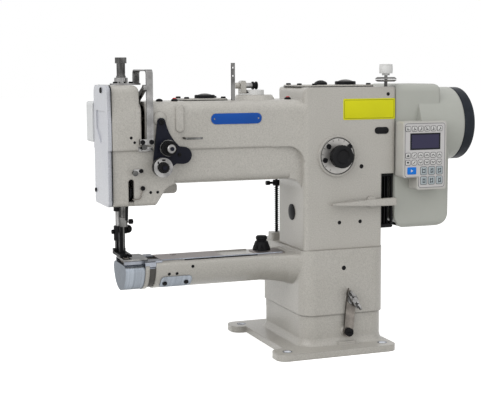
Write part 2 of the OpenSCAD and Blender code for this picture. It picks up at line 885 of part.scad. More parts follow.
module oil_plugs() {
    color("dimgray") {
        translate([col_x0 + 50, axis_y, col_z1 + cover_t])
            dome(10, 7, 3);
        for (x = [needle_x + 50, rib_x - 1, col_x0 - 16])
            translate([x, arm_y0 + arm_top_r + 3, arm_z1])
                dome(5, 4, 2);
        translate([low_x0 - 39, axis_y + 17, deck_z])
            difference() {
                rotate_extrude()
                    polygon([[0, 0], [knob_r, 0], [knob_r, 3], [knob_r - 4, 14], [knob_r - 6, 15],
                        [knob_r - 6, 17], [knob_r - 5, 18], [knob_r - 5, 21], [knob_r - 7, 23], [0, 23]]);
                translate([0, 0, 4])
                    ring_of(10, knob_r)
                        cylinder(h = 20, r = 2.4);
            }
    }
}

module column_plug() {
    color("dimgray") {
        facing_right(col_x0, plug_y, plug_z)
            rotate([180, 0, 0])
                dome(plug_r, 3.5, 1.2);
        rod_x(col_x0, col_x0 + wall, plug_y, plug_z, plug_r - 2.5);
    }
}

module bush(x0, x1, y, z, bore, outer) {
    difference() {
        rod_x(x0, x1, y, z, outer);
        rod_x(x0 - 1, x1 + 1, y, z, bore);
    }
}

module shaft_bushes() {
    color("goldenrod")
        for (x = [bulk1_x, col_x0])
            bush(x, x + bulk_w, axis_y, shaft_z, shaft_d / 2 + run_fit, shaft_d / 2 + bush_wall);
}

module lower_bushes() {
    color("goldenrod")
        for (x = [[cast_x0, cast_x0 + bulk_w], [low_x0 - bulk_w, low_x0 + low_wall]])
            bush(x[0], x[1], axis_y, lower_z, lower_d / 2 + run_fit, lower_d / 2 + bush_wall);
}

// Main drive

belt_x = col_x0 + 66;
belt_t = 2.5;
crank_x0 = needle_x + 32;
crank_x1 = crank_x0 + 9;
box_x0 = over_x1;
upper_x1 = box_x0 + box_l - 17;
drum_x0 = upper_x1 - 38;
drum_x1 = upper_x1 + drum_l;
wheel_x0 = drum_x1 + gap;
wheel_x1 = wheel_x0 + wheel_w;
box_z0 = over_z0 - box_drop;
box_z1 = col_z1 + 3.5;
box_y0 = axis_y - 48;
box_y1 = axis_y + 48;
shell_t = 4;
shadow_gap = 1;

// Outline round both sprockets with radii grown by o
module belt_loop(o) {
    hull() {
        translate([axis_y, shaft_z])
            circle(2 * sprocket_r + o);
        translate([axis_y, lower_z])
            circle(sprocket_r + o);
    }
}

module timing_belt() {
    color("dimgray")
        along_x(belt_x - belt_w / 2, belt_x + belt_w / 2)
            difference() {
                belt_loop(gap + belt_t);
                belt_loop(gap);
            }
}

module sprocket(z, r, bore) {
    color("lightgray")
        difference() {
            union() {
                rod_x(belt_x - belt_w / 2, belt_x + belt_w / 2, axis_y, z, r);
                rod_x(belt_x + belt_w / 2, belt_x + belt_w / 2 + 8, axis_y, z, bore + 4);
            }
            rod_x(belt_x - belt_w, belt_x + belt_w, axis_y, z, bore);
        }
}

module upper_sprocket() {
    sprocket(shaft_z, 2 * sprocket_r, shaft_d / 2);
}

module lower_sprocket() {
    sprocket(lower_z, sprocket_r, lower_d / 2);
}

module main_shaft() {
    color("silver")
        rod_x(crank_x1, wheel_x1 - 4, axis_y, shaft_z, shaft_d / 2);
}

module needle_crank() {
    color("lightgray") {
        rod_x(crank_x0, crank_x1, axis_y, shaft_z, stroke / 2 + 6);
        rod_x(crank_x0 - 2.4, crank_x0, axis_y, shaft_z + stroke / 2, 5);
    }
}

module handwheel() {
    r = drum_d / 2 - gap;
    color("darkslategray")
        difference() {
            facing_right(wheel_x0, axis_y, shaft_z)
                rotate_extrude()
                    difference() {
                        union() {
                            square([r - 3, wheel_w]);
                            translate([0, 3])
                                square([r, wheel_w - 8]);
                            translate([r - 3, 3])
                                circle(3);
                            translate([r - 5, wheel_w - 5])
                                circle(5);
                        }
                        translate([18, wheel_w - 5])
                            square([r - 30, 10]);
                        translate([-1, wheel_w - 2.5])
                            square([16, 10]);
                        translate([-10, -10])
                            square([10, wheel_w + 20]);
                    }
            rod_x(wheel_x0 - 1, wheel_x1 - 4, axis_y, shaft_z, shaft_d / 2);
        }
}

module lower_shaft() {
    color("silver")
        rod_x(hook_x1, belt_x + belt_w / 2 + 10, axis_y, lower_z, lower_d / 2);
}

// Motor and panel

// Black bracket, open in front, with upright ribs
module motor_bracket() {
    color("dimgray") {
        difference() {
            along_y(box_y0 + 4, box_y1 - 4)
                rounded(col_x1, box_z0 + 2, box_x0, over_z0, 3, 1);
            along_y(box_y0 + 9, box_y1 - 9)
                rounded(col_x1 + 5, box_z0 + 7, box_x0 + 5, over_z0 - 5, 2, 2);
            along_y(box_y0 + 3, box_y0 + 10)
                rounded(col_x1 + 5, box_z0 + 7, box_x0 - 3, over_z0 - 5, 2, 2);
        }
        for (x = [col_x1 + 7:5:box_x0 - 6])
            box([x, box_y0 + 8, box_z0 + 6], [x + 1.6, box_y1 - 8, over_z0 - 4]);
    }
}

module motor_outline() {
    rounded(box_x0 + shadow_gap, box_z0, box_x0 + box_l, shaft_z, 22, 2);
    rounded(box_x0 + shadow_gap, shaft_z - 30, upper_x1, box_z1, 2, 8);
}

module motor_housing() {
    color("ivory")
        difference() {
            union() {
                intersection() {
                    along_y(box_y0, box_y1)
                        motor_outline();
                    along_x(box_x0, box_x0 + box_l)
                        rounded(box_y0, box_z0, box_y1, box_z1, 10, 12);
                }
                along_x(box_x0, box_x0 + shadow_gap + 2)
                    rounded(box_y0 + shell_t, box_z0 + 24, box_y1 - shell_t, box_z1 - shell_t, 6, 10);
                rod_x(drum_x0, drum_x1, axis_y, shaft_z, drum_d / 2);
            }
            rod_x(drum_x0 + shell_t, drum_x1 - 5, axis_y, shaft_z, drum_d / 2 - shell_t);
            along_x(box_x0 + shadow_gap + shell_t, drum_x0 + shell_t + 1)
                rounded(box_y0 + shell_t, box_z0 + shell_t, box_y1 - shell_t, box_z1 - shell_t, 8, 10);
            rod_x(drum_x1 - 6, drum_x1 + 1, axis_y, shaft_z, shaft_d / 2 + run_fit);
            rod_x(box_x0 - 1, box_x0 + shadow_gap + shell_t + 1, axis_y, shaft_z, 28);
        }
}

panel_x0 = box_x0 + 1;
panel_x1 = panel_x0 + panel_w;
panel_z1 = box_z1 - 57;
panel_z0 = panel_z1 - panel_h;
panel_y0 = box_y0 - panel_t;

module panel_outline(o) {
    rounded(panel_x0 + o, panel_z0 + 20 + o, panel_x1 - o, panel_z1 - o, 3, 3);
    rounded(panel_x0 + 25 + o, panel_z0 + o, panel_x1 - o, panel_z1 - 40 - o, 3, 3);
}

module display_outline(o) {
    rounded(panel_x0 + 15 - o, panel_z1 - 42 - o, panel_x1 - 12 + o, panel_z1 - 20 + o, 1, 1);
}

module control_panel() {
    color("ivory")
        difference() {
            along_y(panel_y0, box_y0)
                panel_outline(0);
            along_y(panel_y0 - 1, panel_y0 + 1.5)
                display_outline(0.2);
            along_y(panel_y0 + 4, box_y0 + 1)
                panel_outline(2.5);
            rod_x(drum_x0 - gap, panel_x1 + 1, axis_y, shaft_z, drum_d / 2 + gap);
        }
}

module panel_display() {
    color("indigo")
        along_y(panel_y0 - 0.3, panel_y0 + 1.5)
            display_outline(0);
}

// Hook, bobbin and feed

hook_x0 = needle_x + 2;
hook_x1 = ring_x0 - 1;
case_x0 = needle_x + 1.4;
case_r = hook_r - 2.5;

module hook() {
    color("silver")
        difference() {
            union() {
                rod_x(hook_x0, hook_x1, axis_y, lower_z, hook_r);
                rod_x(hook_x1 - 1, ring_x1 - 1, axis_y, lower_z, lower_d / 2 + 3);
            }
            rod_x(hook_x0 - 1, hook_x1 - 3, axis_y, lower_z, case_r + gap);
            rod_x(hook_x1, ring_x1, axis_y, lower_z, lower_d / 2);
            box([hook_x0 - 1, axis_y - 4, lower_z + 6], [hook_x0 + 9, axis_y + 9, lower_z + hook_r + 1]);
        }
}

module bobbin_case() {
    color("lightgray") {
        difference() {
            rod_x(case_x0, hook_x1 - 4, axis_y, lower_z, case_r);
            rod_x(case_x0 + 1.5, hook_x1, axis_y, lower_z, case_r - 1.2);
        }
        rod_x(case_x0 + 1, hook_x1 - 5, axis_y, lower_z, 2.5);
    }
}

module bobbin() {
    x0 = case_x0 + 2;
    x1 = hook_x1 - 5;
    r = case_r - 1.7;
    color("silver")
        difference() {
            union() {
                rod_x(x0, x0 + 1, axis_y, lower_z, r);
                rod_x(x0, x1, axis_y, lower_z, 4.5);
                rod_x(x1 - 1, x1, axis_y, lower_z, r);
            }
            rod_x(x0 - 1, x1 + 1, axis_y, lower_z, 2.5 + run_fit);
        }
}

feed_z1 = bed_z - plate_steel - gap;
feed_z0 = cap_top + gap;
feed_drop = 3;
feed_w = 12;
fork_x0 = cast_x0 + bulk_w + 2;
fork_x1 = fork_x0 + 10;
fork_z1 = deck_z - wall - gap;
fork_z0 = fork_z1 - 8;
tip_r = 3;
tip_z = fork_z1 - 5.5;
fork_half = tip_r + gap + 3;

// Feed dog on a bar that runs back over the hook and ends in a fork round the rock arm's tip
module feed_bar() {
    color("silver")
        difference() {
            union() {
                box([needle_x + 3, axis_y - feed_w / 2, feed_z0],
                    [ring_x0 + 2, axis_y + feed_w / 2, feed_z1]);
                box([ring_x0, axis_y - feed_w / 2, feed_z0 - feed_drop],
                    [fork_x1, axis_y + feed_w / 2, deck_z - gap]);
                box([fork_x0, axis_y - feed_w / 2, fork_z0], [fork_x1, rock_y + fork_half, fork_z1]);
                box([fork_x0, axis_y - feed_w / 2, fork_z0], [fork_x1, axis_y, deck_z - gap]);
                box([needle_x - 3, axis_y - 13, feed_z0], [needle_x + 3, axis_y + 13, feed_z1 + 0.1]);
                box([needle_x - 3, axis_y - feed_half, feed_z1], [needle_x + 3, axis_y + feed_half, bed_z]);
                for (y = [-feed_half + 1:2.5:feed_half - 2])
                    box([needle_x - 3, axis_y + y, bed_z - 0.5],
                        [needle_x + 3, axis_y + y + 1.2, bed_z + 0.8]);
            }
            box([needle_x - 1.6, axis_y - 11.5, feed_z0 - 1], [needle_x + 1.6, axis_y + 11.5, bed_z + 2]);
            box([fork_x0 - 1, rock_y - tip_r - gap, fork_z0 - 1],
                [fork_x1 + 1, rock_y + tip_r + gap, fork_z1 - 2]);
        }
}

module feed_rock_shaft() {
    color("silver") {
        rod_x(cast_x0 + 2, low_x0 + low_wall - 1, rock_y, rock_z, rock_r);
        along_x(fork_x0 + 1, fork_x1 - 1) {
            translate([rock_y, rock_z])
                circle(rock_r + 2);
            translate([rock_y - 2, rock_z])
                square([4, tip_z - rock_z]);
            translate([rock_y, tip_z])
                circle(tip_r);
        }
    }
}

// Needle bar in its rocking frame

bar_r = needle_bar_d / 2;
needle_r = 1.1;
clamp_z = head_z0 - 34;
point_z = bed_z + 8;
frame_low = head_z0 + wall + 3;
link_z = shaft_z - 45;

module rock_frame() {
    color("lightgray")
        difference() {
            union() {
                for (z = [[frame_low, frame_low + 12], [rock_pivot_z - 17, rock_pivot_z + 5]])
                    along_z(z[0], z[1])
                        rounded(needle_x - 16, axis_y - 8, needle_x + 8, axis_y + inner_back + 5, 3, 3);
                along_z(frame_low + 4, rock_pivot_z)
                    rounded(needle_x - 15, axis_y - 5, needle_x - 10, axis_y + inner_back + 2, 1, 1);
                rod_x(needle_x + 7, crown_x1 - 0.6, axis_y, rock_pivot_z, stud_r);
            }
            rod_z(frame_low - 1, rock_pivot_z + 6, needle_x, axis_y, bar_r + run_fit);
            rod_z(frame_low - 1, rock_pivot_z + 6, needle_x, axis_y + inner_back, inner_r + run_fit);
        }
}

module needle_bar() {
    color("silver")
        difference() {
            union() {
                rod_z(clamp_z, rock_pivot_z + stroke - 13, needle_x, axis_y, bar_r);
                rod_z(clamp_z, clamp_z + 14, needle_x, axis_y, bar_r + 1.8);
                rod_x(needle_x + bar_r, needle_x + bar_r + 9, axis_y, clamp_z + 7, 1.6);
                rod_x(needle_x + bar_r + 5, needle_x + bar_r + 10, axis_y, clamp_z + 7, 3.4);
            }
            rod_z(clamp_z - 1, clamp_z + 20, needle_x, axis_y, needle_r);
        }
}

module needle_link() {
    x0 = needle_x + 25;
    x1 = crank_x0 - 2.4 - gap;
    color("lightgray")
        difference() {
            union() {
                along_x(x0, x1) {
                    difference() {
                        translate([axis_y, shaft_z + stroke / 2])
                            circle(9);
                        translate([axis_y, shaft_z + stroke / 2])
                            circle(5 + run_fit);
                    }
                    translate([axis_y, link_z])
                        circle(8);
                    translate([axis_y - 4.5, link_z])
                        square([9, shaft_z + stroke / 2 - 6 - link_z]);
                }
                rod_x(needle_x + bar_r + 2, x0 + 1, axis_y, link_z, 4);
                rod_z(link_z - 6, link_z + 6, needle_x, axis_y, bar_r + 4);
            }
            rod_z(link_z - 7, link_z + 7, needle_x, axis_y, bar_r);
        }
}

module needle() {
    color("silver") {
        rod_z(point_z + 8, clamp_z + 20, needle_x, axis_y, needle_r);
        translate([needle_x, axis_y, point_z])
            cylinder(h = 8, r1 = 0.15, r2 = needle_r);
    }
}

// Feet and pressure

foot_z = bed_z + 1.4;
toe_t = 4;
lift = 14;
leaf_z = head_z1 - wall - lift - 3;

module inner_foot() {
    y1 = axis_y + inner_back;
    color("dimgray") {
        rod_z(foot_z + 24, rock_pivot_z - 6, needle_x, y1, inner_r);
        difference() {
            union() {
                box([needle_x - 4, y1 - 4.5, foot_z + 2], [needle_x + 4, y1 + 4.5, foot_z + 34]);
                box([needle_x - 4, axis_y - 6, foot_z], [needle_x + 4, y1 + 2, foot_z + toe_t]);
            }
            rod_z(foot_z + 24, foot_z + 40, needle_x, y1, inner_r);
            rod_z(foot_z - 1, foot_z + toe_t + 1, needle_x, axis_y, 2.2);
            box([needle_x - 2.2, axis_y - 3.5, foot_z - 1],
                [needle_x + 2.2, axis_y + 3.5, foot_z + toe_t + 1]);
        }
    }
}

module presser_bar() {
    color("silver")
        rod_z(foot_z + 26, leaf_z, needle_x, presser_y, presser_d / 2);
}

module outer_foot() {
    r = presser_d / 2;
    color("dimgray")
        difference() {
            union() {
                rod_z(foot_z + 20, foot_z + 42, needle_x, presser_y, r + 3);
                box([needle_x - 5, presser_y - 6, foot_z + 1], [needle_x + 5, presser_y + 4, foot_z + 26]);
                for (s = [-1, 1])
                    box([needle_x + s * 7 - 2, axis_y - 12, foot_z],
                        [needle_x + s * 7 + 2, presser_y, foot_z + toe_t]);
                box([needle_x - 9, presser_y - 5, foot_z], [needle_x + 9, presser_y + 4, foot_z + toe_t + 4]);
                rod_x(needle_x + r, needle_x + r + 8, presser_y, foot_z + 33, 3.5);
            }
            rod_z(foot_z + 26, foot_z + 44, needle_x, presser_y, r);
        }
}

module leaf_spring() {
    color("slategray")
        box([needle_x - 5, axis_y - 7, leaf_z], [needle_x + 5, presser_y + 5, leaf_z + 1.6]);
}

module pressure_screw() {
    color("silver") {
        rod_z(leaf_z + 1.6, head_z1 + 4, needle_x, axis_y, screw_r);
        rod_z(head_z1 + 0.4, head_z1 + 13, needle_x, axis_y, 7);
        rod_z(head_z1 + 4, head_z1 + 33, needle_x, axis_y, 6.2);
        difference() {
            rod_z(head_z1 + 31, head_z1 + 39.5, needle_x, axis_y, 8.4);
            translate([needle_x, axis_y, head_z1 + 30])
                ring_of(18, 8.8)
                    cylinder(h = 12, r = 0.8);
        }
    }
}

module hand_lifter() {
    y0 = arm_y1 + 2 * gap;
    color("darkgray") {
        rod_y(recess_y1 - wall, y0 + 1, lifter_x, lifter_z, stud_r);
        along_y(y0, y0 + 5) {
            translate([lifter_x, lifter_z])
                circle(9);
            polygon([[lifter_x, lifter_z + 8], [lifter_x, lifter_z - 8],
                [lifter_x + 42, lifter_z - 14], [lifter_x + 42, lifter_z - 3]]);
        }
        along_y(y0, y0 + 16)
            rounded(lifter_x + 40, lifter_z - 17, lifter_x + 70, lifter_z - 2, 6, 4);
    }
}

// Thread path

guard_x0 = take_x1 + gap;
guard_x1 = guard_x0 + 10;
riser_x0 = guard_x0 - 10;
riser_x1 = riser_x0 + 10;
guard_t = 2.4;
guard_y0 = arm_y0 - 6;
guard_top = head_z1 + 22;
guard_low = shaft_z - 18;
guard_d = 38;
guard_bend = 7;

module take_up_lever() {
    tip_y = arm_y0 - 8;
    tip = take_z + 35;
    color("silver") {
        along_x(take_x0, take_x1)
            difference() {
                union() {
                    translate([take_y, take_z])
                        circle(8);
                    polygon([[take_y + 2.4, take_z + 5.5], [take_y - 2.4, take_z - 5.5],
                        [tip_y - 1.3, tip - 2.9], [tip_y + 1.3, tip + 2.9]]);
                    translate([tip_y, tip])
                        circle(4.5);
                }
                translate([tip_y, tip])
                    circle(1.6);
            }
        rod_x(take_x1, take_x1 + 10.5, take_y, take_z, stud_r);
    }
}

// Bent strip, drawn in y and z
module guard_bow() {
    difference() {
        rounded(guard_y0, guard_low, guard_y0 + guard_d, guard_top, 0.2, guard_bend);
        rounded(guard_y0 + guard_t, guard_low - 2, guard_y0 + guard_d - guard_t, guard_top - guard_t,
            0.5, guard_bend - guard_t);
    }
}

// Bow over the take-up slot: its riser behind stands further left than its strip in front
module take_up_guard() {
    mid_y = guard_y0 + guard_bend + 1;
    back_y = guard_y0 + guard_d - guard_bend - 1;
    color("silver") {
        intersection() {
            along_x(guard_x0, guard_x1)
                guard_bow();
            box([guard_x0, guard_y0 - 1, guard_low], [guard_x1, mid_y, guard_top + 1]);
        }
        intersection() {
            along_x(riser_x0, riser_x1)
                guard_bow();
            box([riser_x0, back_y, head_z1], [riser_x1, back_y + guard_d, guard_top + 1]);
        }
        along_z(guard_top - guard_t + 0.1, guard_top - 0.1)
            polygon([[guard_x0, mid_y - 1], [guard_x1, mid_y - 1],
                [riser_x1, back_y + 1], [riser_x0, back_y + 1]]);
        box([needle_x - 20, guard_y0 + guard_d - 8, head_z1],
            [riser_x1, guard_y0 + guard_d, head_z1 + guard_t]);
        box([riser_x0, guard_y0, guard_low], [guard_x1, arm_y0, guard_low + 8]);
    }
}

ten_y1 = arm_y0 - 1;
ten_t = 2.8;
ten_y0 = ten_y1 - ten_t;
ten_up = [needle_x + 53, shaft_z - 23];
ten_low = [needle_x + 43, shaft_z - 50];
lobe_top = [needle_x + 46, shaft_z + 14];
lobe_right = [needle_x + 81, shaft_z - 35];
ten_stud_r = 3;

// Three-lobed plate with two hollow sides, on stand-offs
module tension_plate() {
    color("midnightblue") {
        along_y(ten_y0, ten_y1)
            difference() {
                union() {
                    translate(lobe_top)
                        circle(6);
                    translate(lobe_right)
                        circle(8);
                    translate(ten_low)
                        circle(11);
                    polygon([lobe_top + [-6, 0], lobe_top + [6, 0], lobe_right + [3, 7.5],
                        lobe_right + [-3, -7.5], ten_low + [5, -9.5], ten_low + [-10, 4]]);
                }
                translate(lobe_right)
                    circle(3);
                translate(lobe_top + [70, 13])
                    circle(65);
                translate(lobe_right + [3, -44])
                    circle(36);
            }
        for (p = [lobe_top, ten_up + [3, 6]])
            rod_y(ten_y1, arm_y0, p[0], p[1], 5);
        rod_y(ten_y0 - 30, ten_y0, ten_up[0], ten_up[1], ten_stud_r);
        rod_y(ten_y0 - 26, ten_y0, ten_low[0], ten_low[1], ten_stud_r);
    }
}

// Pair of discs that pinch the thread on a tension stud
module tension_discs(p, r) {
    for (k = [0, 1])
        difference() {
            rod_y(ten_y0 - 8 - 3 * k, ten_y0 - 6.4 - 3 * k, p[0], p[1], r);
            rod_y(ten_y0 - 12, ten_y0, p[0], p[1], ten_stud_r + run_fit);
        }
}

// Thumb nut on a tension stud
module tension_nut(p, y1, r, h) {
    difference() {
        union() {
            rod_y(y1 - h, y1, p[0], p[1], r);
            rod_y(y1 - 3, y1, p[0], p[1], r + 4);
        }
        rod_y(y1 - h - 1, y1 + 1, p[0], p[1], ten_stud_r + run_fit);
        facing_front(p[0], y1 - 3.2, p[1])
            ring_of(12, r + 0.4)
                cylinder(h = h, r = 1);
    }
}

module upper_tension_nut() {
    color("silver")
        tension_nut(ten_up, ten_y0 - 14, 7, 12);
}

module lower_tension_nut() {
    color("dimgray")
        tension_nut(ten_low, ten_y0 - 14, 7.5, 10);
}

pre_x = over_x1 - 14;
pre_y = col_y0 + 9;

module thread_guides() {
    post_x = needle_x + 164;
    post_y = arm_y0 + arm_top_r + 3;
    color("silver") {
        difference() {
            box([post_x - 2.7, post_y - 1.5, arm_z1], [post_x + 2.7, post_y + 1.5, arm_z1 + 55]);
            for (z = [36, 48])
                rod_y(post_y - 3, post_y + 3, post_x, arm_z1 + z, 1.5);
        }
        for (p = [[needle_x + 19, ledge_z + 6], [needle_x + 5, ledge_z - 31]]) {
            rod_y(arm_y0 - 9, p[1] > ledge_z ? arm_y0 : recess_y0, p[0], p[1], 2);
            rod_y(arm_y0 - 10, arm_y0 - 8, p[0], p[1], 4);
        }
        tension_discs(ten_up, 12);
        tension_discs(ten_low, 14);
        rod_y(arm_y0 - 16, arm_y0, needle_x + 80, shaft_z - 10, 1.6);
        rod_x(needle_x + 80, needle_x + 104, arm_y0 - 15, shaft_z - 10, 1.6);
        rod_z(col_z1, col_z1 + 34, pre_x, pre_y, 2.5);
        for (z = [8, 12])
            rod_z(col_z1 + z, col_z1 + z + 2, pre_x, pre_y, 13);
    }
}

module pretension_knob() {
    color("white")
        difference() {
            union() {
                rod_z(col_z1 + 20, col_z1 + 34, pre_x, pre_y, 10);
                rod_z(col_z1 + 17, col_z1 + 20, pre_x, pre_y, 6);
            }
            rod_z(col_z1 + 10, col_z1 + 40, pre_x, pre_y, 2.5 + run_fit);
            translate([pre_x, pre_y, col_z1 + 21])
                ring_of(16, 10.4)
                    cylinder(h = 20, r = 0.9);
        }
}

win_z = arm_z1 + 21;

module winder_bracket() {
    color("whitesmoke") {
        rod_z(pad_z, pad_z + 7.5, win_x, axis_y, 14);
        box([win_x - 24, axis_y - 7, pad_z], [win_x - 4, axis_y + 7, pad_z + 2.5]);
        difference() {
            along_x(win_x - 24, win_x - 16)
                rounded(axis_y - 7, pad_z, axis_y + 7, win_z + 7, 0.2, 5);
            rod_x(win_x - 25, win_x - 15, axis_y, win_z, 2.5 + run_fit);
        }
    }
}

module bobbin_winder() {
    color("dimgray") {
        rod_x(win_x - 28, win_x + 4, axis_y, win_z, 2.5);
        for (x = [-4, 1.4])
            rod_x(win_x + x, win_x + x + 2, axis_y, win_z, 6);
        rod_x(win_x - 4, win_x + 3, axis_y, win_z, 4.4);
        rod_x(win_x - 31, win_x - 25, axis_y, win_z, 4);
    }
}

// Stitch dial, reverse lever and lift rod

module dial_plate() {
    color("silver")
        difference() {
            rod_y(col_y0 - 3, col_y0, dial_x, dial_z, dial_d / 2);
            rod_y(col_y0 - 4, col_y0 + 1, dial_x, dial_z, dial_shaft_r + run_fit);
        }
}

module stitch_dial() {
    r = dial_knob_d / 2;
    color("dimgray") {
        rod_y(col_y0 - 5, col_y0 + wall + 6, dial_x, dial_z, dial_shaft_r);
        difference() {
            facing_front(dial_x, col_y0 - 3 - gap, dial_z)
                rotate_extrude()
                    polygon([[0, 0], [r - 4, 0], [r - 2, 8], [r, 10], [r, 19], [r - 1.5, 20.5], [r - 6, 20.5],
                        [r - 8, 18], [0, 18]]);
            facing_front(dial_x, col_y0 - 12, dial_z)
                ring_of(20, r + 0.5)
                    cylinder(h = 16, r = 1.1);
            rod_y(col_y0 - 6, col_y0, dial_x, dial_z, dial_shaft_r - 1);
        }
    }
}

module reverse_lever() {
    y0 = col_y0 - 13;
    color("gainsboro") {
        along_y(y0, y0 + 8)
            polygon([[rev_x - lever_len, rev_z - 2], [rev_x - lever_len + 4, rev_z + 1], [rev_x, rev_z + 5],
                [rev_x + 38, rev_z + 6], [rev_x + 39, rev_z - 6], [rev_x, rev_z - 5.5]]);
        rod_y(y0 + 8, col_y0 - gap, rev_x, rev_z, 9);
        rod_y(y0 + 8, col_y0 + wall + 4, rev_x, rev_z, dial_shaft_r);
    }
}

module lift_rod() {
    z0 = guide_z + coil_h;
    color("dimgray") {
        rod_z(bed_z - 20, guide2_z1 + 4, rod_x0, rod_y0, rod_d / 2);
        rod_z(z0, z0 + 9, rod_x0, rod_y0, rod_d / 2 + 4);
        rod_x(rod_x0 - 14, rod_x0 - rod_d / 2 - 2, rod_y0, z0 + 4.5, 2);
        rod_x(rod_x0 - 18, rod_x0 - 12, rod_y0, z0 + 4.5, 3.6);
    }
}

// Compression spring: one unbroken tube, a helix whose ends stand straight for one wire diameter
rings_per_curl = 8;
wire_sides = 6;
wire_r = wire_d / 2;
helix_h = coil_h - 2 * wire_d;
turns = [0, for (i = [0:curls * rings_per_curl]) i / rings_per_curl, curls];
last_ring = len(turns) - 1;
coil_path = [for (i = [0:last_ring])
    let (end_z = i == 0 ? -wire_d : i == last_ring ? wire_d : 0)
    [coil_r * cos(360 * turns[i]), coil_r * sin(360 * turns[i]),
    wire_d + helix_h * turns[i] / curls + end_z]];

// Direction of the wire at a ring
function wire_way(i) =
    let (d = i == 0 || i == last_ring ? [0, 0, 1] : coil_path[i + 1] - coil_path[i - 1])
    d / norm(d);

// One ring of the tube, square to the wire
function wire_ring(i) =
    let (out = [cos(360 * turns[i]), sin(360 * turns[i]), 0], up = cross(out, wire_way(i)))
    [for (k = [0:wire_sides - 1])
        let (a = 360 * k / wire_sides)
        coil_path[i] + wire_r * (cos(a) * out + sin(a) * up)];

// Least distance between the tube's own surfaces, on points at least half a curl apart
self_gap = min([for (i = [0:last_ring - rings_per_curl / 2 - 1])
    for (j = [i + rings_per_curl / 2 + 1:min(last_ring, i + 2 * rings_per_curl)])
        norm(coil_path[i] - coil_path[j]) - wire_d]);
echo(least_spring_gap = self_gap);

module lift_spring() {
    n = wire_sides;
    points = [for (i = [0:last_ring]) each wire_ring(i)];
    sides = [for (i = [0:last_ring - 1], k = [0:n - 1])
        each [[i * n + k, i * n + (k + 1) % n, (i + 1) * n + k],
            [i * n + (k + 1) % n, (i + 1) * n + (k + 1) % n, (i + 1) * n + k]]];
    last = last_ring * n;
    ends = [for (k = [1:n - 2]) each [[0, k + 1, k], [last, last + k, last + k + 1]]];
    color("dimgray")
        translate([rod_x0, rod_y0, guide_z])
            polyhedron(points, concat(sides, ends));
}

base();
pivot_pins();
latch();
wing_screw();
bed_casting();
arm_casting();
face_plate();
rear_cover();
arm_top_cover();
column_top_cover();
motor_bracket();
motor_housing();
control_panel();
panel_display();
dial_plate();
hook_carrier();
needle_plate();
slide_plate();
end_cap();
bed_side_cover();
oil_caps();
oil_plugs();
column_plug();
shaft_bushes();
lower_bushes();
timing_belt();
main_shaft();
upper_sprocket();
needle_crank();
handwheel();
lower_shaft();
lower_sprocket();
hook();
bobbin_case();
bobbin();
feed_bar();
feed_rock_shaft();
rock_frame();
needle_bar();
needle_link();
needle();
inner_foot();
presser_bar();
outer_foot();
leaf_spring();
pressure_screw();
take_up_lever();
take_up_guard();
tension_plate();
upper_tension_nut();
lower_tension_nut();
thread_guides();
pretension_knob();
winder_bracket();
bobbin_winder();
stitch_dial();
reverse_lever();
lift_rod();
lift_spring();
hand_lifter();
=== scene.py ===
"""Looks of a cylinder-bed leather sewing machine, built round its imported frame.

Pieces are drawn in millimetres and placed in the frame's own axes:
+X along the arm to the handwheel, +Y to the back, +Z up.
"""
import json
import math

import bmesh
import bpy
from mathutils import Matrix, Vector


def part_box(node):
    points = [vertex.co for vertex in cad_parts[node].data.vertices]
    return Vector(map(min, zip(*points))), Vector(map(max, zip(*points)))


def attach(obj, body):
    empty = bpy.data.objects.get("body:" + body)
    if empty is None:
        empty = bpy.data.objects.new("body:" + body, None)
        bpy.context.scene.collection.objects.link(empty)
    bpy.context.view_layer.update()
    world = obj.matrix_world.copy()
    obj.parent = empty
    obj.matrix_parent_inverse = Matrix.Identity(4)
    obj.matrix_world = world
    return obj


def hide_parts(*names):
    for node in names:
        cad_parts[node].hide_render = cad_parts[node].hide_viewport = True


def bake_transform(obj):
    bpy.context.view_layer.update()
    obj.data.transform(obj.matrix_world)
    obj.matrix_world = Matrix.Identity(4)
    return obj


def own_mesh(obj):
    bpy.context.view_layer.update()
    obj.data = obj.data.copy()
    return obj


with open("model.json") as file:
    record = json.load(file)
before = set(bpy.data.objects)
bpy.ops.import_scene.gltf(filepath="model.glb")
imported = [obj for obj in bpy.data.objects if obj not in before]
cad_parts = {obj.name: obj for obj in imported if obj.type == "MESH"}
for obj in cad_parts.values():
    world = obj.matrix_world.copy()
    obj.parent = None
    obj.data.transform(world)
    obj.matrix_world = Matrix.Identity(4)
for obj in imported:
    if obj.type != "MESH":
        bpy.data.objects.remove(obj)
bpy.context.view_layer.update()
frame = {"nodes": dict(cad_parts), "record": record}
MM = 0.001
ORIGIN = (0, 0, 0)

# Camera

PHOTO_WIDTH = 481
FOCAL_PIXELS = 1119
SENSOR = 36.0
CAMERA_PLACE = (-0.7184, -1.6249, 0.4353)
YAW, PITCH, ROLL = 20.3, 6.71, 0.3
FAR_CLIP = 60


def stand_camera():
    """Camera where the photograph was taken from."""
    data = bpy.data.cameras.new("camera")
    data.sensor_width = SENSOR
    data.lens = FOCAL_PIXELS * SENSOR / PHOTO_WIDTH
    data.clip_end = FAR_CLIP
    camera = bpy.data.objects.new("camera", data)
    turn = (Matrix.Rotation(math.radians(-YAW), 4, "Z")
            @ Matrix.Rotation(math.radians(90 - PITCH), 4, "X")
            @ Matrix.Rotation(math.radians(-ROLL), 4, "Z"))
    camera.matrix_world = Matrix.Translation(CAMERA_PLACE) @ turn
    bpy.context.scene.collection.objects.link(camera)
    bpy.context.scene.camera = camera


stand_camera()

# Node helpers


def add_node(tree, kind, inputs=None, **settings):
    """A shader node with some of its inputs and settings given."""
    made = tree.nodes.new(kind)
    for name, value in settings.items():
        setattr(made, name, value)
    for name, value in (inputs or {}).items():
        socket = made.inputs[name]
        if isinstance(value, bpy.types.NodeSocket):
            tree.links.new(value, socket)
        else:
            socket.default_value = value
    return made


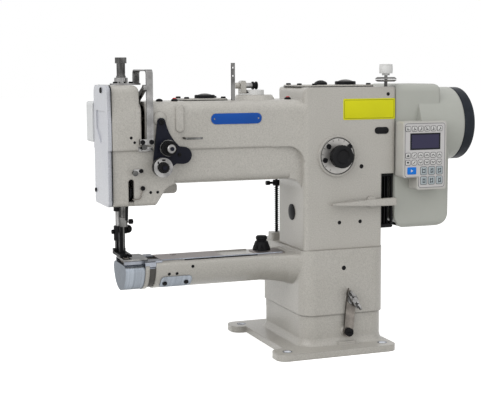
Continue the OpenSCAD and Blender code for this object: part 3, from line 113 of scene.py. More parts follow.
def rgba(colour):
    """A colour with its alpha."""
    return (*colour, 1.0)


def new_material(name, colour, roughness, metallic=0.0, **sockets):
    """A Principled material, its tree and its shader, with plain values on the shader's own sockets."""
    material = bpy.data.materials.new(name)
    material.use_nodes = True
    tree = material.node_tree
    shader = tree.nodes["Principled BSDF"]
    shader.inputs["Base Color"].default_value = rgba(colour)
    shader.inputs["Roughness"].default_value = roughness
    shader.inputs["Metallic"].default_value = metallic
    for label, value in sockets.items():
        socket = label.replace("_", " ").title().replace("Ior", "IOR")
        shader.inputs[socket].default_value = value
    return material, tree, shader


def object_coordinates(tree, stretch=(1, 1, 1)):
    """The piece's own coordinates in metres, stretched for grain that runs one way."""
    where = add_node(tree, "ShaderNodeTexCoord").outputs["Object"]
    if stretch == (1, 1, 1):
        return where
    return add_node(tree, "ShaderNodeMapping", {"Vector": where, "Scale": stretch}).outputs["Vector"]


def noise(tree, coordinates, size, detail=2.0):
    """Noise whose features are about size metres across."""
    return add_node(tree, "ShaderNodeTexNoise",
                    {"Vector": coordinates, "Scale": 1 / size, "Detail": detail}).outputs["Fac"]


def ramp(tree, factor, *stops):
    """Colour ramp through (place, colour) stops."""
    made = add_node(tree, "ShaderNodeValToRGB", {"Fac": factor})
    elements = made.color_ramp.elements
    while len(elements) < len(stops):
        elements.new(0.5)
    for element, (place, colour) in zip(elements, stops):
        element.position = place
        element.color = rgba(colour)
    return made.outputs["Color"]


def spread(tree, factor, low, high):
    """Maps the busy middle of a noise to a span of values."""
    return add_node(tree, "ShaderNodeMapRange",
                    {"Value": factor, "From Min": 0.3, "From Max": 0.7,
                     "To Min": low, "To Max": high}).outputs["Result"]


def shaded(colour, factor):
    """A colour made darker or paler."""
    return tuple(min(1.0, c * factor) for c in colour)


def soft_edges(tree, radius):
    """Normal that rounds the sharp edges of a casting or a turned part."""
    return add_node(tree, "ShaderNodeBevel", {"Radius": radius}, samples=6).outputs["Normal"]


def rough_skin(tree, shader, height, depth, edge=0.0):
    """Bump from a height pattern, over softened edges."""
    bump = add_node(tree, "ShaderNodeBump", {"Height": height, "Distance": depth, "Strength": 1.0})
    if edge:
        tree.links.new(soft_edges(tree, edge), bump.inputs["Normal"])
    tree.links.new(bump.outputs["Normal"], shader.inputs["Normal"])


# Finishes

SPECKLE, PEEL_WAVE, CLOUD = 0.0015, 0.0034, 0.085
MOULD_GRAIN, MOULD_CLOUD = 0.0006, 0.06
GRINDING, GRINDING_DEPTH = 0.0006, 0.00002
RUBBED_SPOT, OXIDE_GRAIN, OXIDE_DEPTH = 0.012, 0.0008, 0.00003
CLOUD_SHARE = 0.55


def enamel(name, colour, peel=0.0003, edge=0.0032, roughness=0.36):
    """Enamel over a casting: orange peel, faint speckle, soft clouds and duller handled places."""
    material, tree, shader = new_material(name, colour, roughness, coat_weight=0.2, coat_roughness=0.2)
    where = object_coordinates(tree)
    fine = noise(tree, where, SPECKLE, 3.0)
    cloud = noise(tree, where, CLOUD, 4.0)
    speckle = ramp(tree, fine, (0.30, shaded(colour, 0.84)), (0.5, colour), (0.70, shaded(colour, 1.12)))
    dusk = ramp(tree, cloud, (0.34, (0.91, 0.905, 0.89)), (0.56, (1.0, 1.0, 1.0)))
    mixed = add_node(tree, "ShaderNodeMix", data_type="RGBA", blend_type="MULTIPLY")
    mixed.inputs["Factor"].default_value = CLOUD_SHARE
    tree.links.new(speckle, mixed.inputs["A"])
    tree.links.new(dusk, mixed.inputs["B"])
    tree.links.new(mixed.outputs["Result"], shader.inputs["Base Color"])
    tree.links.new(spread(tree, cloud, roughness - 0.05, roughness + 0.10), shader.inputs["Roughness"])
    rough_skin(tree, shader, noise(tree, where, PEEL_WAVE, 2.0), peel, edge)
    return material


def moulded(name, colour, roughness=0.42, grain=0.00004, edge=0.0009, gloss=0.5):
    """Moulded plastic with a fine spark-eroded grain."""
    material, tree, shader = new_material(name, colour, roughness, specular_ior_level=gloss)
    where = object_coordinates(tree)
    cloud = noise(tree, where, MOULD_CLOUD, 3.0)
    tint = ramp(tree, cloud, (0.3, shaded(colour, 0.95)), (0.7, shaded(colour, 1.03)))
    tree.links.new(tint, shader.inputs["Base Color"])
    tree.links.new(spread(tree, cloud, roughness - 0.04, roughness + 0.06), shader.inputs["Roughness"])
    rough_skin(tree, shader, noise(tree, where, MOULD_GRAIN, 2.0), grain, edge)
    return material


def worked_metal(name, colour, roughness=0.28, along=(1, 1, 1), band=0.016, edge=0.0006, tone=0.72):
    """Bare metal with grinding marks in bands; along is 1 across the marks and small along them."""
    material, tree, shader = new_material(name, colour, roughness, metallic=1.0,
                                          specular_tint=(0.5, 0.5, 0.5, 1.0))
    grain = noise(tree, object_coordinates(tree, along), GRINDING, 4.0)
    cloud = noise(tree, object_coordinates(tree, along), band, 3.0)
    tint = ramp(tree, cloud, (0.34, shaded(colour, tone)), (0.50, colour),
                (0.66, shaded(colour, 1 / tone)))
    tree.links.new(tint, shader.inputs["Base Color"])
    tree.links.new(spread(tree, grain, roughness - 0.07, roughness + 0.10), shader.inputs["Roughness"])
    rough_skin(tree, shader, grain, GRINDING_DEPTH, edge)
    return material


def blackened(name, colour, roughness=0.40, edge=0.0006):
    """Black oxide or black enamel, with paler rubbed spots."""
    material, tree, shader = new_material(name, colour, roughness, specular_ior_level=0.08)
    where = object_coordinates(tree)
    cloud = noise(tree, where, RUBBED_SPOT, 4.0)
    tint = ramp(tree, cloud, (0.35, shaded(colour, 0.8)), (0.62, colour), (0.80, shaded(colour, 2.0)))
    tree.links.new(tint, shader.inputs["Base Color"])
    tree.links.new(spread(tree, cloud, roughness - 0.06, roughness + 0.12), shader.inputs["Roughness"])
    rough_skin(tree, shader, noise(tree, where, OXIDE_GRAIN, 2.0), OXIDE_DEPTH, edge)
    return material


CAST_GREY = (0.400, 0.384, 0.352)
FACE_GREY = (0.430, 0.440, 0.478)
IVORY = (0.372, 0.380, 0.345)
PANEL_IVORY = (0.47, 0.46, 0.43)
OFF_WHITE = (0.585, 0.595, 0.600)
BLACK = (0.008, 0.008, 0.009)
SLATE = (0.020, 0.024, 0.031)
NAVY = (0.010, 0.011, 0.019)
STEEL = (0.165, 0.150, 0.136)
BRIGHT = (0.215, 0.212, 0.210)
SILVER = (0.260, 0.275, 0.310)
# Nickel plate colour darkened: painted shade
NICKEL_PAINTED_SHADE = (0.095, 0.094, 0.092)
SATIN = (0.36, 0.35, 0.335)
SLIDE = (0.39, 0.355, 0.345)
ALLOY = (0.26, 0.285, 0.32)
BRONZE = (0.34, 0.22, 0.10)
WHITE = (0.62, 0.62, 0.61)
PURPLE = (0.040, 0.037, 0.075)
# Near-white that paints the base's bolt holes bright: painted light
BORE_PAINTED_LIGHT = (0.86, 0.88, 0.92)
COVER_GREY = (0.105, 0.100, 0.094)
PLATE_BLUE = (0.008, 0.070, 0.335)
PLATE_YELLOW = (0.615, 0.600, 0.010)
PLUG_RED = (0.42, 0.020, 0.018)
KEY_FILM = (0.50, 0.488, 0.485)
KEY_PALE = (0.56, 0.555, 0.545)
KEY_ICE = (0.36, 0.41, 0.43)
KEY_BLUE = (0.012, 0.17, 0.62)
KEY_LINE = (0.13, 0.127, 0.13)
KEY_INK = (0.012, 0.013, 0.018)

# One finish for each slot of the record
FINISHES = {
    "cast_paint": enamel("cast_enamel", CAST_GREY),
    "face_paint": enamel("face_enamel", FACE_GREY, peel=0.00006, edge=0.0016, roughness=0.30),
    "motor_shell": moulded("motor_ivory", IVORY, roughness=0.36, grain=0.00010, edge=0.004),
    "rear_shell": moulded("rear_off_white", OFF_WHITE, edge=0.003),
    "panel_shell": moulded("panel_ivory", PANEL_IVORY, edge=0.0018),
    "display_glass": moulded("display_window", PURPLE, roughness=0.30, grain=0.0, edge=0.0, gloss=0.1),
    "black_oxide": blackened("black_oxide", BLACK),
    "black_plastic": moulded("black_moulding", BLACK, roughness=0.42, gloss=0.1),
    "wheel_black": blackened("wheel_slate", SLATE, roughness=0.34, edge=0.002),
    "bright_steel": worked_metal("nickel_plate", BRIGHT, roughness=0.18),
    "ground_steel": worked_metal("ground_steel", STEEL, roughness=0.30),
    "slide_steel": worked_metal("brushed_slide", SLIDE, roughness=0.34, along=(0.02, 1, 1), band=0.004,
                                tone=0.88),
    "cap_alloy": worked_metal("brushed_alloy", ALLOY, roughness=0.30, along=(1, 0.04, 0.04), band=0.005,
                              tone=0.84),
    "bush_bronze": worked_metal("bush_bronze", BRONZE, roughness=0.4),
    "tension_navy": blackened("tension_navy", NAVY, roughness=0.32),
    "white_knob": moulded("white_knob", WHITE),
    "belt_rubber": moulded("belt_rubber", BLACK, roughness=0.7, grain=0.0001, gloss=0.1),
}

# Steel parts that are darker or paler than the rest of their slot; the darker ones carry painted shade in
# their colour
# Nickel plate with painted shade in its colour, for the needle bar, needle, pressure screw and thread
# guides
SHADED_NICKEL = worked_metal("nickel_painted_shade", NICKEL_PAINTED_SHADE, roughness=0.20, tone=0.6)
CARRIER_SILVER = worked_metal("carrier_silver", SILVER, roughness=0.28, tone=0.85)
NODE_FINISHES = {
    "hook_carrier": CARRIER_SILVER,
    "dial_plate": worked_metal("satin_dial", SATIN, roughness=0.50, tone=0.9),
    "needle_bar": SHADED_NICKEL,
    "needle": SHADED_NICKEL,
    "pressure_screw": SHADED_NICKEL,
    "thread_guides": SHADED_NICKEL,
}

# Finishes of pieces that the record has no slot for
TRIM = {
    "edge_silver": CARRIER_SILVER,
    "bore_painted_light": moulded("bore_painted_light", BORE_PAINTED_LIGHT, roughness=0.35, grain=0.00002, edge=0.0),
    "cover_grey": blackened("cover_grey", COVER_GREY, roughness=0.45),
    "plate_blue": moulded("plate_blue", PLATE_BLUE, roughness=0.36, grain=0.00001, edge=0.0, gloss=0.12),
    "plate_yellow": moulded("plate_yellow", PLATE_YELLOW, grain=0.00001, edge=0.0, gloss=0.12),
    "plug_red": moulded("plug_red", PLUG_RED, roughness=0.35),
    "key_film": moulded("key_film", KEY_FILM, roughness=0.40, grain=0.00002, edge=0.0),
    "key_pale": moulded("key_pale", KEY_PALE, roughness=0.40, edge=0.0, gloss=0.3),
    "key_ice": moulded("key_ice", KEY_ICE, roughness=0.40, edge=0.0, gloss=0.3),
    "key_blue": moulded("key_blue", KEY_BLUE, roughness=0.40, edge=0.0, gloss=0.12),
    "key_line": moulded("key_line", KEY_LINE, roughness=0.45, edge=0.0, gloss=0.1),
    "key_ink": moulded("key_ink", KEY_INK, roughness=0.45, edge=0.0, gloss=0.1),
}


def dress_nodes():
    """Gives every node of the frame its own finish, or else the finish of its slot."""
    for part in frame["record"]["subparts"]:
        mesh = frame["nodes"][part["node"]].data
        mesh.materials.clear()
        mesh.materials.append(NODE_FINISHES.get(part["node"], FINISHES[part["material_slot"]]))


dress_nodes()

# Shapes, in millimetres


def swing(bm, degrees):
    """Turns a shape round its own upright axis."""
    turn = Matrix.Rotation(math.radians(degrees), 3, "Z")
    bmesh.ops.rotate(bm, cent=ORIGIN, matrix=turn, verts=bm.verts)


def stand(bm, at, height):
    """Lifts a shape made about its middle to stand at a place."""
    bmesh.ops.translate(bm, vec=(at[0], at[1], at[2] + height / 2), verts=bm.verts)


def round_edges(bm, edges, offset, segments):
    """Bevels edges to a round."""
    bmesh.ops.bevel(bm, geom=edges, offset=offset, segments=segments, profile=0.5, affect="EDGES",
                    material=-1)


def upper_edges(bm):
    """Edges round the outer face of a shape made about its middle."""
    return [e for e in bm.edges if min(v.co.z for v in e.verts) > 0]


def only_vertices(geometry):
    """The vertices among an operator's results."""
    return [v for v in geometry if isinstance(v, bmesh.types.BMVert)]


def turned(profile, at=ORIGIN, steps=32):
    """Turned shape: a profile of (radius, height) spun round its own axis, its underside closed."""
    bm = bmesh.new()
    first, last = profile[0], profile[-1]
    if last[0] > 0 and last != first:
        profile = [*profile, first if first[0] > 0 else (0, last[1])]
    line = [bm.verts.new((r, 0, h)) for r, h in profile]
    edges = [bm.edges.new(pair) for pair in zip(line, line[1:])]
    bmesh.ops.spin(bm, geom=line + edges, cent=ORIGIN, axis=(0, 0, 1), angle=math.tau, steps=steps,
                   use_merge=True)
    bmesh.ops.remove_doubles(bm, verts=bm.verts, dist=1e-5)
    bmesh.ops.translate(bm, vec=at, verts=bm.verts)
    return bm


def slab(size, at=ORIGIN, corner=0.0, rim=0.0):
    """Plate standing on the face, its upright edges rounded and its outer rim broken."""
    bm = bmesh.new()
    bmesh.ops.create_cube(bm, size=1)
    bmesh.ops.scale(bm, vec=size, verts=bm.verts)
    if corner:
        round_edges(bm, [e for e in bm.edges if e.verts[0].co.z * e.verts[1].co.z < 0], corner, 5)
    if rim:
        round_edges(bm, upper_edges(bm), rim, 2)
    stand(bm, at, size[2])
    return bm


def top_face(bm):
    """The largest of the highest faces."""
    return max(bm.faces, key=lambda f: (round(f.calc_center_median().z, 4), f.calc_area()))


def in_slot(face, r):
    """Whether a face is the strip between a screw's two slot cuts."""
    middle = face.calc_center_median()
    central = abs(middle.x) < 0.1 * r and abs(middle.y) < 0.3 * r
    return face.normal.z > 0.9 and len(face.verts) > 3 and central


def screw(r, h, at=ORIGIN, turn=0.0):
    """Slotted pan head."""
    bm = bmesh.new()
    bmesh.ops.create_cone(bm, cap_ends=True, segments=28, radius1=r, radius2=r, depth=h)
    round_edges(bm, upper_edges(bm), 0.28 * r, 3)
    bmesh.ops.inset_region(bm, faces=[top_face(bm)], thickness=0.06 * r)
    for side in (-1, 1):
        face = top_face(bm)
        bmesh.ops.bisect_plane(bm, geom=[face, *face.edges, *face.verts],
                               plane_co=(side * 0.14 * r, 0, 0), plane_no=(1, 0, 0))
    slot = [f for f in bm.faces if in_slot(f, r)]
    sunk = bmesh.ops.extrude_face_region(bm, geom=slot)["geom"]
    bmesh.ops.translate(bm, vec=(0, 0, -0.4 * h), verts=only_vertices(sunk))
    bmesh.ops.delete(bm, geom=slot, context="FACES_ONLY")
    swing(bm, turn)
    stand(bm, at, h)
    return bm


def set_screw(r, at=ORIGIN):
    """Socket set screw, just proud of the paint."""
    return turned([(0, 0.05), (0.55 * r, 0.05), (0.6 * r, 0.3), (0.9 * r, 0.32), (r, 0.0)], at, 20)


def rivet(r, h, at=ORIGIN):
    """Round rivet head."""
    return turned([(0, h), (0.5 * r, 0.86 * h), (0.86 * r, 0.5 * h), (r, 0)], at, 20)


def collar(inner, outer, h, at=ORIGIN):
    """Ring with a broken outer edge."""
    edge = 0.25 * min(h, outer - inner)
    return turned([(inner, 0), (inner, h), (outer - edge, h), (outer, h - edge), (outer, 0)], at, 48)


def wire(path, r, sides=10):
    """Round wire: a circle extruded from point to point of its path."""
    bm = bmesh.new()
    points = [Vector(p) for p in path]
    ring = bmesh.ops.create_circle(bm, cap_ends=False, segments=sides, radius=r)["verts"]
    before = Vector((0, 0, 1))
    for i, point in enumerate(points):
        ahead = points[min(i + 1, len(points) - 1)] - points[max(i - 1, 0)]
        if i:
            edges = list({e for v in ring for e in v.link_edges if all(w in ring for w in e.verts)})
            ring = only_vertices(bmesh.ops.extrude_edge_only(bm, edges=edges)["geom"])
            bmesh.ops.translate(bm, vec=point - points[i - 1], verts=ring)
        else:
            bmesh.ops.translate(bm, vec=point, verts=ring)
        bmesh.ops.rotate(bm, cent=point, matrix=before.rotation_difference(ahead).to_matrix(), verts=ring)
        before = ahead
    bmesh.ops.holes_fill(bm, edges=[e for e in bm.edges if e.is_boundary], sides=0)
    return bm


def arc(centre, radius, start, end, steps=10):
    """Points of an arc in the piece's own x and y, in degrees."""
    turns = [math.radians(start + (end - start) * i / steps) for i in range(steps + 1)]
    x, y, z = centre
    return [(x + radius * math.cos(t), y + radius * math.sin(t), z) for t in turns]


def rounded_path(width, height, r):
    """Closed path round a plate with round corners, about its middle."""
    x, y = width / 2 - r, height / 2 - r
    path = [*arc((x, y, 0), r, 90, 0, 4), *arc((x, -y, 0), r, 0, -90, 4),
            *arc((-x, -y, 0), r, -90, -180, 4), *arc((-x, y, 0), r, 180, 90, 4)]
    return [*path, path[0]]


# Pieces

SHARP_ANGLE = 32
# Way along a face and way out of it
FACES = {
    "front": ((1, 0, 0), (0, -1, 0)),
    "top": ((1, 0, 0), (0, 0, 1)),
    "left": ((0, -1, 0), (-1, 0, 0)),
    "right": ((0, 1, 0), (1, 0, 0)),
}


def seat(face, place):
    """From a piece's own millimetres, z out of the face it sits on, to the frame's metres."""
    ways = FACES[face] if isinstance(face, str) else face
    along, out = (Vector(way).normalized() for way in ways)
    turn = Matrix((along, out.cross(along), out)).transposed().to_4x4()
    return Matrix.Scale(MM, 4) @ Matrix.Translation(place) @ turn


def piece(name, shapes, face, place, finish, body="head"):
    """One piece from shapes in its own millimetres, on a face of the machine, riding on a body if any."""
    whole = bmesh.new()
    for shape in shapes:
        loose = bpy.data.meshes.new("loose")
        shape.to_mesh(loose)
        shape.free()
        whole.from_mesh(loose)
        bpy.data.meshes.remove(loose)
    whole.transform(seat(face, place))
    bmesh.ops.recalc_face_normals(whole, faces=whole.faces)
    mesh = bpy.data.meshes.new(name)
    whole.to_mesh(mesh)
    whole.free()
    mesh.shade_smooth()
    mesh.set_sharp_from_angle(angle=math.radians(SHARP_ANGLE))
    made = bpy.data.objects.new(name, mesh)
    bpy.context.scene.collection.objects.link(made)
    if body:
        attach(made, body)
    mesh.materials.append(FINISHES.get(finish) or TRIM[finish])
    return made


# Faces and axes of the machine, in millimetres

ARM_FRONT, COLUMN_FRONT, BED_FRONT = -76.0, -84.0, -88.0
RECESS_FRONT = -72.5
FOOT_PLATE_TOP, DECK = 10, 153.0
ARM_TOP, ARM_COVER_TOP = 388.4, 391.4
COLUMN_TOP, COLUMN_COVER_TOP = 406.4, 409.4
HEAD_TOP = 412.4
NEEDLE_X, AXIS_Y, PRESSER_Y = -313, -31, -1
BED_AXIS = (AXIS_Y, 146.5)
BED_RADIUS = 36.5

# Column and base

YELLOW_PLATE_X, YELLOW_PLATE_Z = 62.4, 372.6
SLOT_PLUG = (84, COLUMN_FRONT, 339.3)
# Radius, x and z
COLUMN_SET_SCREWS = ((3.4, 49.9, 285), (2.8, 94.5, 395), (3.0, 13, 199.8), (3.0, 48.2, 199.8))
LOWER_SET_SCREW = (19.1, BED_FRONT, 129.6)
BOLT_SPOTS = [(x, y) for x in (-80, 80) for y in (-100, 100)]
LINING_FOOT, SPOT_FACE_HEIGHT = 0.15, 0.15
WING_X, WING_Z = 30.4, 81.7
EARS_FRONT, HUB_FRONT = -102.4, -103.9
EAR_REACH = 12.4
EAR_FACE = ((0.53, 0, -0.848), (0.848, 0, 0.53))
DIAL = (8, COLUMN_FRONT - 3, 302.4)
DIAL_SCREWS = ((-14.7, 14.7), (-20.6, -6.0), (20.0, 13.8))
TICKS, FIRST_TICK, TICK_STEP = 12, 150, 22


def column_trim():
    """Bare plate, plug and set screws of the column, and the bolt holes of the base, whose near-white
    linings are painted light.
    """
    piece("yellow_plate", [slab((88, 32, 0.4), corner=2.0, rim=0.15)], "front",
          (YELLOW_PLATE_X, COLUMN_FRONT, YELLOW_PLATE_Z), "plate_yellow")
    piece("yellow_plate_border", [wire(rounded_path(84, 28, 2.0), 0.35, 6)], "front",
          (YELLOW_PLATE_X, COLUMN_FRONT - 0.2, YELLOW_PLATE_Z), "key_ink")
    plug = [slab((24, 10.5, 1.0), corner=5.2, rim=0.4), slab((18, 4.5, 1.3), corner=2.2, rim=0.2)]
    piece("slot_plug", plug, "front", SLOT_PLUG, "black_plastic")
    piece("column_set_screws", [set_screw(r, (x, z, 0)) for r, x, z in COLUMN_SET_SCREWS], "front",
          (0, COLUMN_FRONT, 0), "black_oxide")
    piece("lower_set_screw", [set_screw(3.6)], "front", LOWER_SET_SCREW, "black_oxide")
    # Near-white linings inside the bolt holes: painted light on their far walls
    painted_light_linings = [collar(5.2, 5.46, 9.8, (x, y, LINING_FOOT)) for x, y in BOLT_SPOTS]
    piece("bolt_holes_painted_light", painted_light_linings, "top", ORIGIN, "bore_painted_light", "base")
    spot_faces = [collar(5.6, 7.6, SPOT_FACE_HEIGHT, (x, y, 0)) for x, y in BOLT_SPOTS]
    piece("bolt_spot_faces", spot_faces, "top", (0, 0, FOOT_PLATE_TOP), "edge_silver", "base")


def wing_screw_trim():
    """Ears of the wing screw, turned up towards the hand, and its rounded hub."""
    ears = [slab((11, 9, 3.0), (side * EAR_REACH, -3.6, -1.5), corner=3.8) for side in (-1, 1)]
    piece("wing_ears", ears, EAR_FACE, (WING_X, EARS_FRONT, WING_Z), "bright_steel", "wing_screw")
    hub = [(0, 3.0), (2.6, 2.8), (4.6, 1.7), (5.4, 0), (5.4, -2), (0, -2)]
    piece("wing_hub", [turned(hub)], "front", (WING_X, HUB_FRONT, WING_Z), "bright_steel", "wing_screw")


def stitch_dial_trim():
    """Screws and scale of the stitch dial's plate."""
    screws = [screw(4.0, 2.2, (x, z, 0), 35 + 50 * i) for i, (x, z) in enumerate(DIAL_SCREWS)]
    piece("dial_screws", screws, "front", DIAL, "black_oxide")
    ticks = [collar(27.0, 28.0, 0.2)]
    for i in range(TICKS):
        tick = slab((0.7, 3.2, 0.12), (0, 24.6, 0))
        swing(tick, FIRST_TICK - TICK_STEP * i)
        ticks.append(tick)
    piece("dial_ticks", ticks, "front", DIAL, "black_oxide")


# Arm and head

NAME_PLATE = (-151, ARM_FRONT, 362)
RIVET_REACH = 34.5
ARM_RIB = (-238.6, ARM_FRONT, 364.2)
GASKET_CORNER = (-36.1, -63.9, COLUMN_TOP)
ARM_CAP_X, COLUMN_CAP_X = -185, 47
ARM_COVER_SCREWS = [(x, y) for x in (-220, -163) for y in (-52, -10)]
COLUMN_COVER_SCREWS = ((-20, -63), (71, -63), (-35, -40), (71, 3), (-35, 3))
OIL_PLUGS_X, OIL_PLUGS_Y = (-240, -61), -56
FACE_PLATE_X, GASKET_X, GASKET_Z = -344.5, -338.6, 325.4
GUARD_FOOT_X, GUARD_FOOT_Y, GUARD_FOOT_TOP = (-326, -303), -48, 414.8
GUARD_STRIP_X, GUARD_STRIP_FRONT, GUARD_STRIP_Z = (-295.6, -282.6), -82, 331.2
LOW_SCREWS_X, LOW_SCREWS_Z = (-282.4, -272), 257.8
LOW_CLIP_Z, CLIP_THICK = 289.6, 1.6
WIRE_THICK = 1.6
TENSION_BOSS = (-268.6, ARM_FRONT, 364.3)
TENSION_LOBE = (-246.6, ARM_FRONT - 1, 311.4)
LOBE_FACE = ((0.998, 0, -0.06), (0, -1, 0))
LOBE_SCREW, PLATE_SCREW = (-240.4, -79.85, 311.7), (-267, -79.8, 359.4)
UPPER_TENSION = (-260, -105.8, 322.4)
LOWER_TENSION = (-270, -96.8, 295.4)


def name_plate():
    """Bare name plate with its bright rim and two rivets."""
    piece("name_plate_rim", [slab((80.4, 17.0, 0.5), corner=8.2, rim=0.2)], "front", NAME_PLATE,
          "bright_steel")
    piece("name_plate", [slab((79.2, 15.8, 0.8), corner=7.6, rim=0.15)], "front", NAME_PLATE,
          "plate_blue")
    rivets = [rivet(1.3, 0.8, (x, 0, 0.7)) for x in (-RIVET_REACH, RIVET_REACH)]
    piece("name_plate_rivets", rivets, "front", NAME_PLATE, "bright_steel")


def arm_rib():
    """Raised rib on the arm's front, over the frame's own."""
    piece("arm_rib", [slab((12.4, 41, 3.0), corner=5.6, rim=1.4)], "front", ARM_RIB, "cast_paint")


def column_cover_gasket():
    """Thin gasket under the column's cover, its front left corner cut off like the cover's."""
    bm = slab((121.6, 81.6, 1.0), (18, -30, COLUMN_TOP), corner=6.6)
    cut = bmesh.ops.bisect_plane(bm, geom=[*bm.verts, *bm.edges, *bm.faces], plane_co=GASKET_CORNER,
                                 plane_no=(-1, -1, 0), clear_outer=True)["geom_cut"]
    bmesh.ops.holes_fill(bm, edges=[e for e in cut if isinstance(e, bmesh.types.BMEdge)], sides=0)
    return bm


def top_trim():
    """Rings, gaskets and screws of the two top covers, and the red tips of the oil plugs."""
    rings = [collar(11.5, 15.4, 4.9, (ARM_CAP_X, AXIS_Y, ARM_COVER_TOP)),
             collar(12.3, 16.4, 5.3, (COLUMN_CAP_X, AXIS_Y, COLUMN_COVER_TOP))]
    piece("cap_rings", rings, "top", ORIGIN, "black_plastic")
    arm_gasket = slab((70.4, 55.4, 1.0), (-191.5, AXIS_Y, ARM_TOP), corner=6.6)
    piece("cover_gaskets", [arm_gasket, column_cover_gasket()], "top", ORIGIN, "black_plastic")
    spots = [(x, y, ARM_COVER_TOP) for x, y in ARM_COVER_SCREWS]
    spots += [(x, y, COLUMN_COVER_TOP) for x, y in COLUMN_COVER_SCREWS]
    screws = [screw(3.8, 2.6, at, 25 + 40 * i) for i, at in enumerate(spots)]
    piece("cover_screws", screws, "top", ORIGIN, "black_oxide")
    tip = [(0, 5.0), (1.6, 4.9), (2.8, 4.3), (3.1, 3.4)]
    tips = [turned(tip, (x, OIL_PLUGS_Y, ARM_TOP), 24) for x in OIL_PLUGS_X]
    piece("oil_plug_tips", tips, "top", ORIGIN, "plug_red")


def head_trim():
    """Screws, gasket, clips and wires of the head."""
    piece("face_plate_screws", [screw(4.2, 2.0, (37.4, 405, 0), 20), screw(3.2, 2.0, (-4.4, 257, 0), 70)],
          "left", (FACE_PLATE_X, 0, 0), "black_oxide")
    piece("face_plate_gasket", [slab((90.4, 174.4, 0.8), corner=12)], "left",
          (GASKET_X, AXIS_Y, GASKET_Z), "black_plastic")
    piece("head_set_screws", [set_screw(2.2, (-311, 337.5, 0)), set_screw(2.0, (-306, 330.7, 0))],
          "front", (0, ARM_FRONT, 0), "black_oxide")
    piece("head_low_set_screws", [set_screw(2.2, (x, LOW_SCREWS_Z, 0)) for x in LOW_SCREWS_X], "front",
          (0, RECESS_FRONT, 0), "black_oxide")
    foot_screws = [screw(3.4, 2.4, (x, GUARD_FOOT_Y, GUARD_FOOT_TOP), 30) for x in GUARD_FOOT_X]
    piece("guard_foot_screws", foot_screws, "top", ORIGIN, "black_oxide")
    strip_screws = [screw(3.4, 2.2, (x, GUARD_STRIP_Z, 0), 15) for x in GUARD_STRIP_X]
    piece("guard_strip_screws", strip_screws, "front", (0, GUARD_STRIP_FRONT, 0), "black_oxide")
    piece("pressure_lock_nut", [collar(7.4, 9.8, 10.4)], "top", (NEEDLE_X, AXIS_Y, HEAD_TOP),
          "bright_steel")
    hang = [(-311, -66, 264), (-311, -66, 253), (-311.8, -58, 246),
            (-312.4, -51.5, 240), (-312.6, -50, 232), (-312.6, -48, 216)]
    piece("needle_thread_guide", [wire(hang, 2.3)], "top", ORIGIN, "black_oxide")
    clip = [slab((21, 6.4, 1.2), (-290.5, 321, 0), corner=1.4, rim=0.3),
            slab((14, 2.2, 3.0), (-290, 320, 1.0), corner=0.9, rim=0.4)]
    piece("thread_clip", clip, "front", (0, ARM_FRONT, 0), "bright_steel")
    low_clip = slab((14, 5.5, CLIP_THICK), (-301.5, LOW_CLIP_Z, 0), corner=1.6, rim=0.4)
    piece("low_thread_clip", [low_clip], "front", (0, RECESS_FRONT, 0), "bright_steel")
    piece("low_clip_screw", [screw(3.0, 2.2, (-296.5, LOW_CLIP_Z, CLIP_THICK), 60)], "front",
          (0, RECESS_FRONT, 0), "black_oxide")
    piece("wire_guide_screw", [screw(3.4, 2.4, (-294.6, 264.4, WIRE_THICK), 25)], "front",
          (0, RECESS_FRONT, 0), "black_oxide")
    bend = [(-294.6, 264, 0.8), (-296, 258, 0.9), (-297.6, 253.5, 1.6),
            *arc((-301.6, 253.0, 2.2), 4, 0, -90, 5), (-306, 249, 2.2), (-310, 249, 1.2)]
    piece("wire_guide", [wire(bend, WIRE_THICK / 2)], "front", (0, RECESS_FRONT, 0), "ground_steel")


def tension_trim():
    """Boss, lobe and screws of the tension plate, and the bright parts of its nuts."""
    boss = [(0, 0.95), (9.4, 0.95), (10.2, 0.6), (10.6, 0)]
    piece("tension_boss", [turned(boss, steps=48)], "front", TENSION_BOSS, "cast_paint")
    piece("tension_plate_lobe", [slab((50, 25, 2.86), corner=12.4, rim=0.4)], LOBE_FACE, TENSION_LOBE,
          "tension_navy")
    piece("tension_lobe_screw", [screw(2.8, 1.6, turn=70)], "front", LOBE_SCREW, "black_oxide")
    piece("tension_plate_screw", [screw(4.2, 2.2, turn=40)], "front", PLATE_SCREW, "black_oxide")
    cap = [(0, 2.4), (2.6, 2.4), (3.0, 1.9), (5.4, 1.7), (6.3, 0.9), (6.3, -4.0)]
    piece("upper_tension_cap", [turned(cap)], "front", UPPER_TENSION, "bright_steel", "upper_tension_nut")
    piece("lower_tension_disc", [collar(7.9, 14.2, 0.9)], "front", LOWER_TENSION, "bright_steel",
          "lower_tension_nut")
    slots = [slab((5.0, 2.4, 0.1), (0.5, 10.6, 0.9)), slab((2.2, 3.6, 0.1), (-7.6, 7.2, 0.9))]
    piece("lower_disc_slots", slots, "front", LOWER_TENSION, "black_oxide", "lower_tension_nut")


# Needle, bed and winder

PRESSER_BUSH = (NEEDLE_X, PRESSER_Y, 224)
FOOT_THUMB_SCREW = (-308, -4, 196.6)
CLAMP_THUMB_SCREW = (-304.2, AXIS_Y, 211.4)
FOOT_SIDE_SCREW = (-320, PRESSER_Y, 193)
BED_COVER_SCREWS = ((-259, 120), (-226, 120.5))
BED_SET_SCREWS = ((-254, 135), (-242, 135), (-218, 144.5))
BED_COVER_THICK, WRAP_THICK = 1.6, 0.25
RAILS_Y, RAILS_Z = (-57, -5), 154.6
SLIDE_EDGE_FRONT, SHADOW_FRONT = -58.3, -58.5
WINDER_PLATE_TOP, WINDER_Z = 397.9, 409.4
WINDER_HUB_X, WINDER_TUBE_X = -129.9, -120.9
PRETENSION = (95, -75, 0)
DISHES_MIDDLE = 417.4


